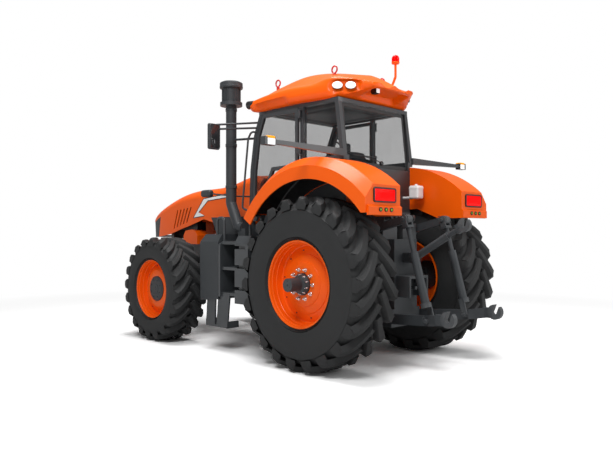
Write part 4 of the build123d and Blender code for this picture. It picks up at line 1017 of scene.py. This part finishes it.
# sewn channels pressed in after the cloth run
def sewChannels(piece, spec):
    turn = Matrix.Rotation(-spec["lean"], 3, "Y")
    middle = row(*spec["middle"])
    flat = spec is seatLook["cushion"]
    inward = turn.transposed() @ (Vector((0, 0, -1)) if flat else Vector((-1, 0, 0)))
    for vertex in piece.data.vertices:
        q = turn @ (vertex.co - middle)
        if (q.z > 0.02 if flat else q.x > 0.015):
            press = sum(max(0, 1 - ((q.y - line) / seatLook["channelHalf"]) ** 2) for line in seatLook["channels"])
            vertex.co += inward * seatLook["channelDeep"] * press


for part in ("cushion", "back", "rest"):
    spec = seatLook[part]
    piece = addPiece(f"seat_{part}", stuffedForm(spec), "cloth", "chassis", 60)
    swell(piece)
    if part != "rest":
        sewChannels(piece, spec)
    piece.data.materials.clear()
    piece.data.materials.append(finish["cloth"])
    piece.data.polygons.foreach_set("use_smooth", [True] * len(piece.data.polygons))
    smoother = piece.modifiers.new("smooth", "SUBSURF")
    smoother.levels = smoother.render_levels = 1
    if part == "cushion":
        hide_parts("seat")
bellows = {"folds": 6, "low": 1.640, "pitch": 0.044}
base = Shape()
for i in range(bellows["folds"]):
    z = bellows["low"] + bellows["pitch"] * i
    panel(base, row(0.630, 0, z), (1, 0, 0), (0, 1, 0), 0.175, 0.175, 0.050,
          [(0.030, 0), (0.004, 0.014), (0, 0.022), (0.004, 0.030), (0.030, 0.044)], i == bellows["folds"] - 1)
panel(base, row(0.630, 0, 1.601), (1, 0, 0), (0, 1, 0), 0.205, 0.195, 0.030,
      [(0.003, 0), (0, 0.004), (0, 0.034), (0.006, 0.042)])
panel(base, row(0.620, 0, 1.902), (1, 0, 0), (0, 1, 0), 0.235, 0.225, 0.040,
      [(0.010, 0), (0, 0.008), (0, 0.036), (0.010, 0.046)])
panel(base, row(0.255, 0, 2.340), (0, -1, 0), (0.139, 0, -0.990), 0.215, 0.300, 0.060,
      [(0.004, -0.030), (0, -0.022), (0, 0.004), (0.014, 0.016)])
for sign in (1, -1):
    base.tube([row(x, sign * 0.150, z) for x, z in ((0.330, 1.960), (0.300, 2.060), (0.270, 2.200))], 0.018, 10)
    base.tube([row(x, sign * 0.060, z) for x, z in ((0.236, 2.560), (0.226, 2.640))], 0.009, 8)
addPiece("seat_base", base, "slate", "chassis")
print("seat made")


# camera at the photograph's angle
cameraLook = {"lens": 37.13, "sensor": 36, "place": (-6.928, 6.410, 1.635), "tilt": 90.2835, "turn": -134.263}
camera = bpy.data.objects.new("photoCamera", bpy.data.cameras.new("photoCamera"))
camera.data.lens = cameraLook["lens"]
camera.data.sensor_width = cameraLook["sensor"]
camera.location = cameraLook["place"]
camera.rotation_euler = (radians(cameraLook["tilt"]), 0, radians(cameraLook["turn"]))
bpy.context.scene.collection.objects.link(camera)
bpy.context.scene.camera = camera


# pale floor that keeps the shadow, white all round for what the camera sees
stageLook = {"floor": (0.62, 0.62, 0.62, 1), "seen": (1.38, 1.38, 1.38, 1), "ambient": 0.20, "gloss": 0.14,
             "half": 60, "fadeFrom": 5.0, "fadeOver": 5.0, "aim": (0, 0, 1.5),
             "lamps": (("key", (-5.0, 7.0, 9.0), 4.0, 560), ("top", (-0.5, 0.5, 11.0), 6.0, 1000),
                       ("fill", (-9.5, -4.5, 5.0), 5.0, 230))}


def studio():
    world = bpy.data.worlds.new("studio")
    bpy.context.scene.world = world
    world.use_nodes = True
    world.node_tree.nodes.clear()
    wire = Wire(world.node_tree)
    seen = wire.make("ShaderNodeLightPath", {}, {}, "Is Camera Ray")
    gloss = wire.make("ShaderNodeLightPath", {}, {}, "Is Glossy Ray")
    through = wire.make("ShaderNodeLightPath", {}, {}, "Is Transmission Ray")
    white = (seen + gloss * stageLook["gloss"] + through).clamp()
    strength = stageLook["ambient"] + white * (1.0 - stageLook["ambient"])
    sky = wire.make("ShaderNodeBackground", {}, {"Color": (1, 1, 1, 1), "Strength": strength})
    wire.make("ShaderNodeOutputWorld", {}, {"Surface": sky})
    mesh = bpy.data.meshes.new("floor")
    half = stageLook["half"]
    mesh.from_pydata([(-half, -half, 0), (half, -half, 0), (half, half, 0), (-half, half, 0)], [], [(0, 1, 2, 3)])
    floor = bpy.data.objects.new("floor", mesh)
    bpy.context.scene.collection.objects.link(floor)
    material, wire, place = newFinish("paleFloor")
    seen = wire.make("ShaderNodeLightPath", {}, {}, "Is Camera Ray")
    far = wire.make("ShaderNodeVectorMath", {"operation": "LENGTH"}, {0: place}, "Value")
    near = wire.make("ShaderNodeBsdfDiffuse", {}, {"Color": wire.tint(seen, stageLook["floor"], stageLook["seen"])})
    bright = wire.make("ShaderNodeEmission", {}, {"Color": (1, 1, 1, 1), "Strength": 1.0})
    fade = ((far - stageLook["fadeFrom"]) / stageLook["fadeOver"]).clamp()
    both = wire.make("ShaderNodeMixShader", {}, {0: fade, 1: near, 2: bright})
    wire.make("ShaderNodeOutputMaterial", {}, {"Surface": both})
    mesh.materials.append(material)


def softLamp(name, place, size, power):
    light = bpy.data.lights.new(name, "AREA")
    light.shape = "DISK"
    light.size = size
    light.energy = power
    lamp = bpy.data.objects.new(name, light)
    lamp.location = place
    lamp.rotation_euler = (Vector(stageLook["aim"]) - Vector(place)).to_track_quat("-Z", "Y").to_euler()
    bpy.context.scene.collection.objects.link(lamp)


studio()
for lamp in stageLook["lamps"]:
    softLamp(*lamp)
bpy.context.scene.view_settings.view_transform = "Standard"
print("studio set")
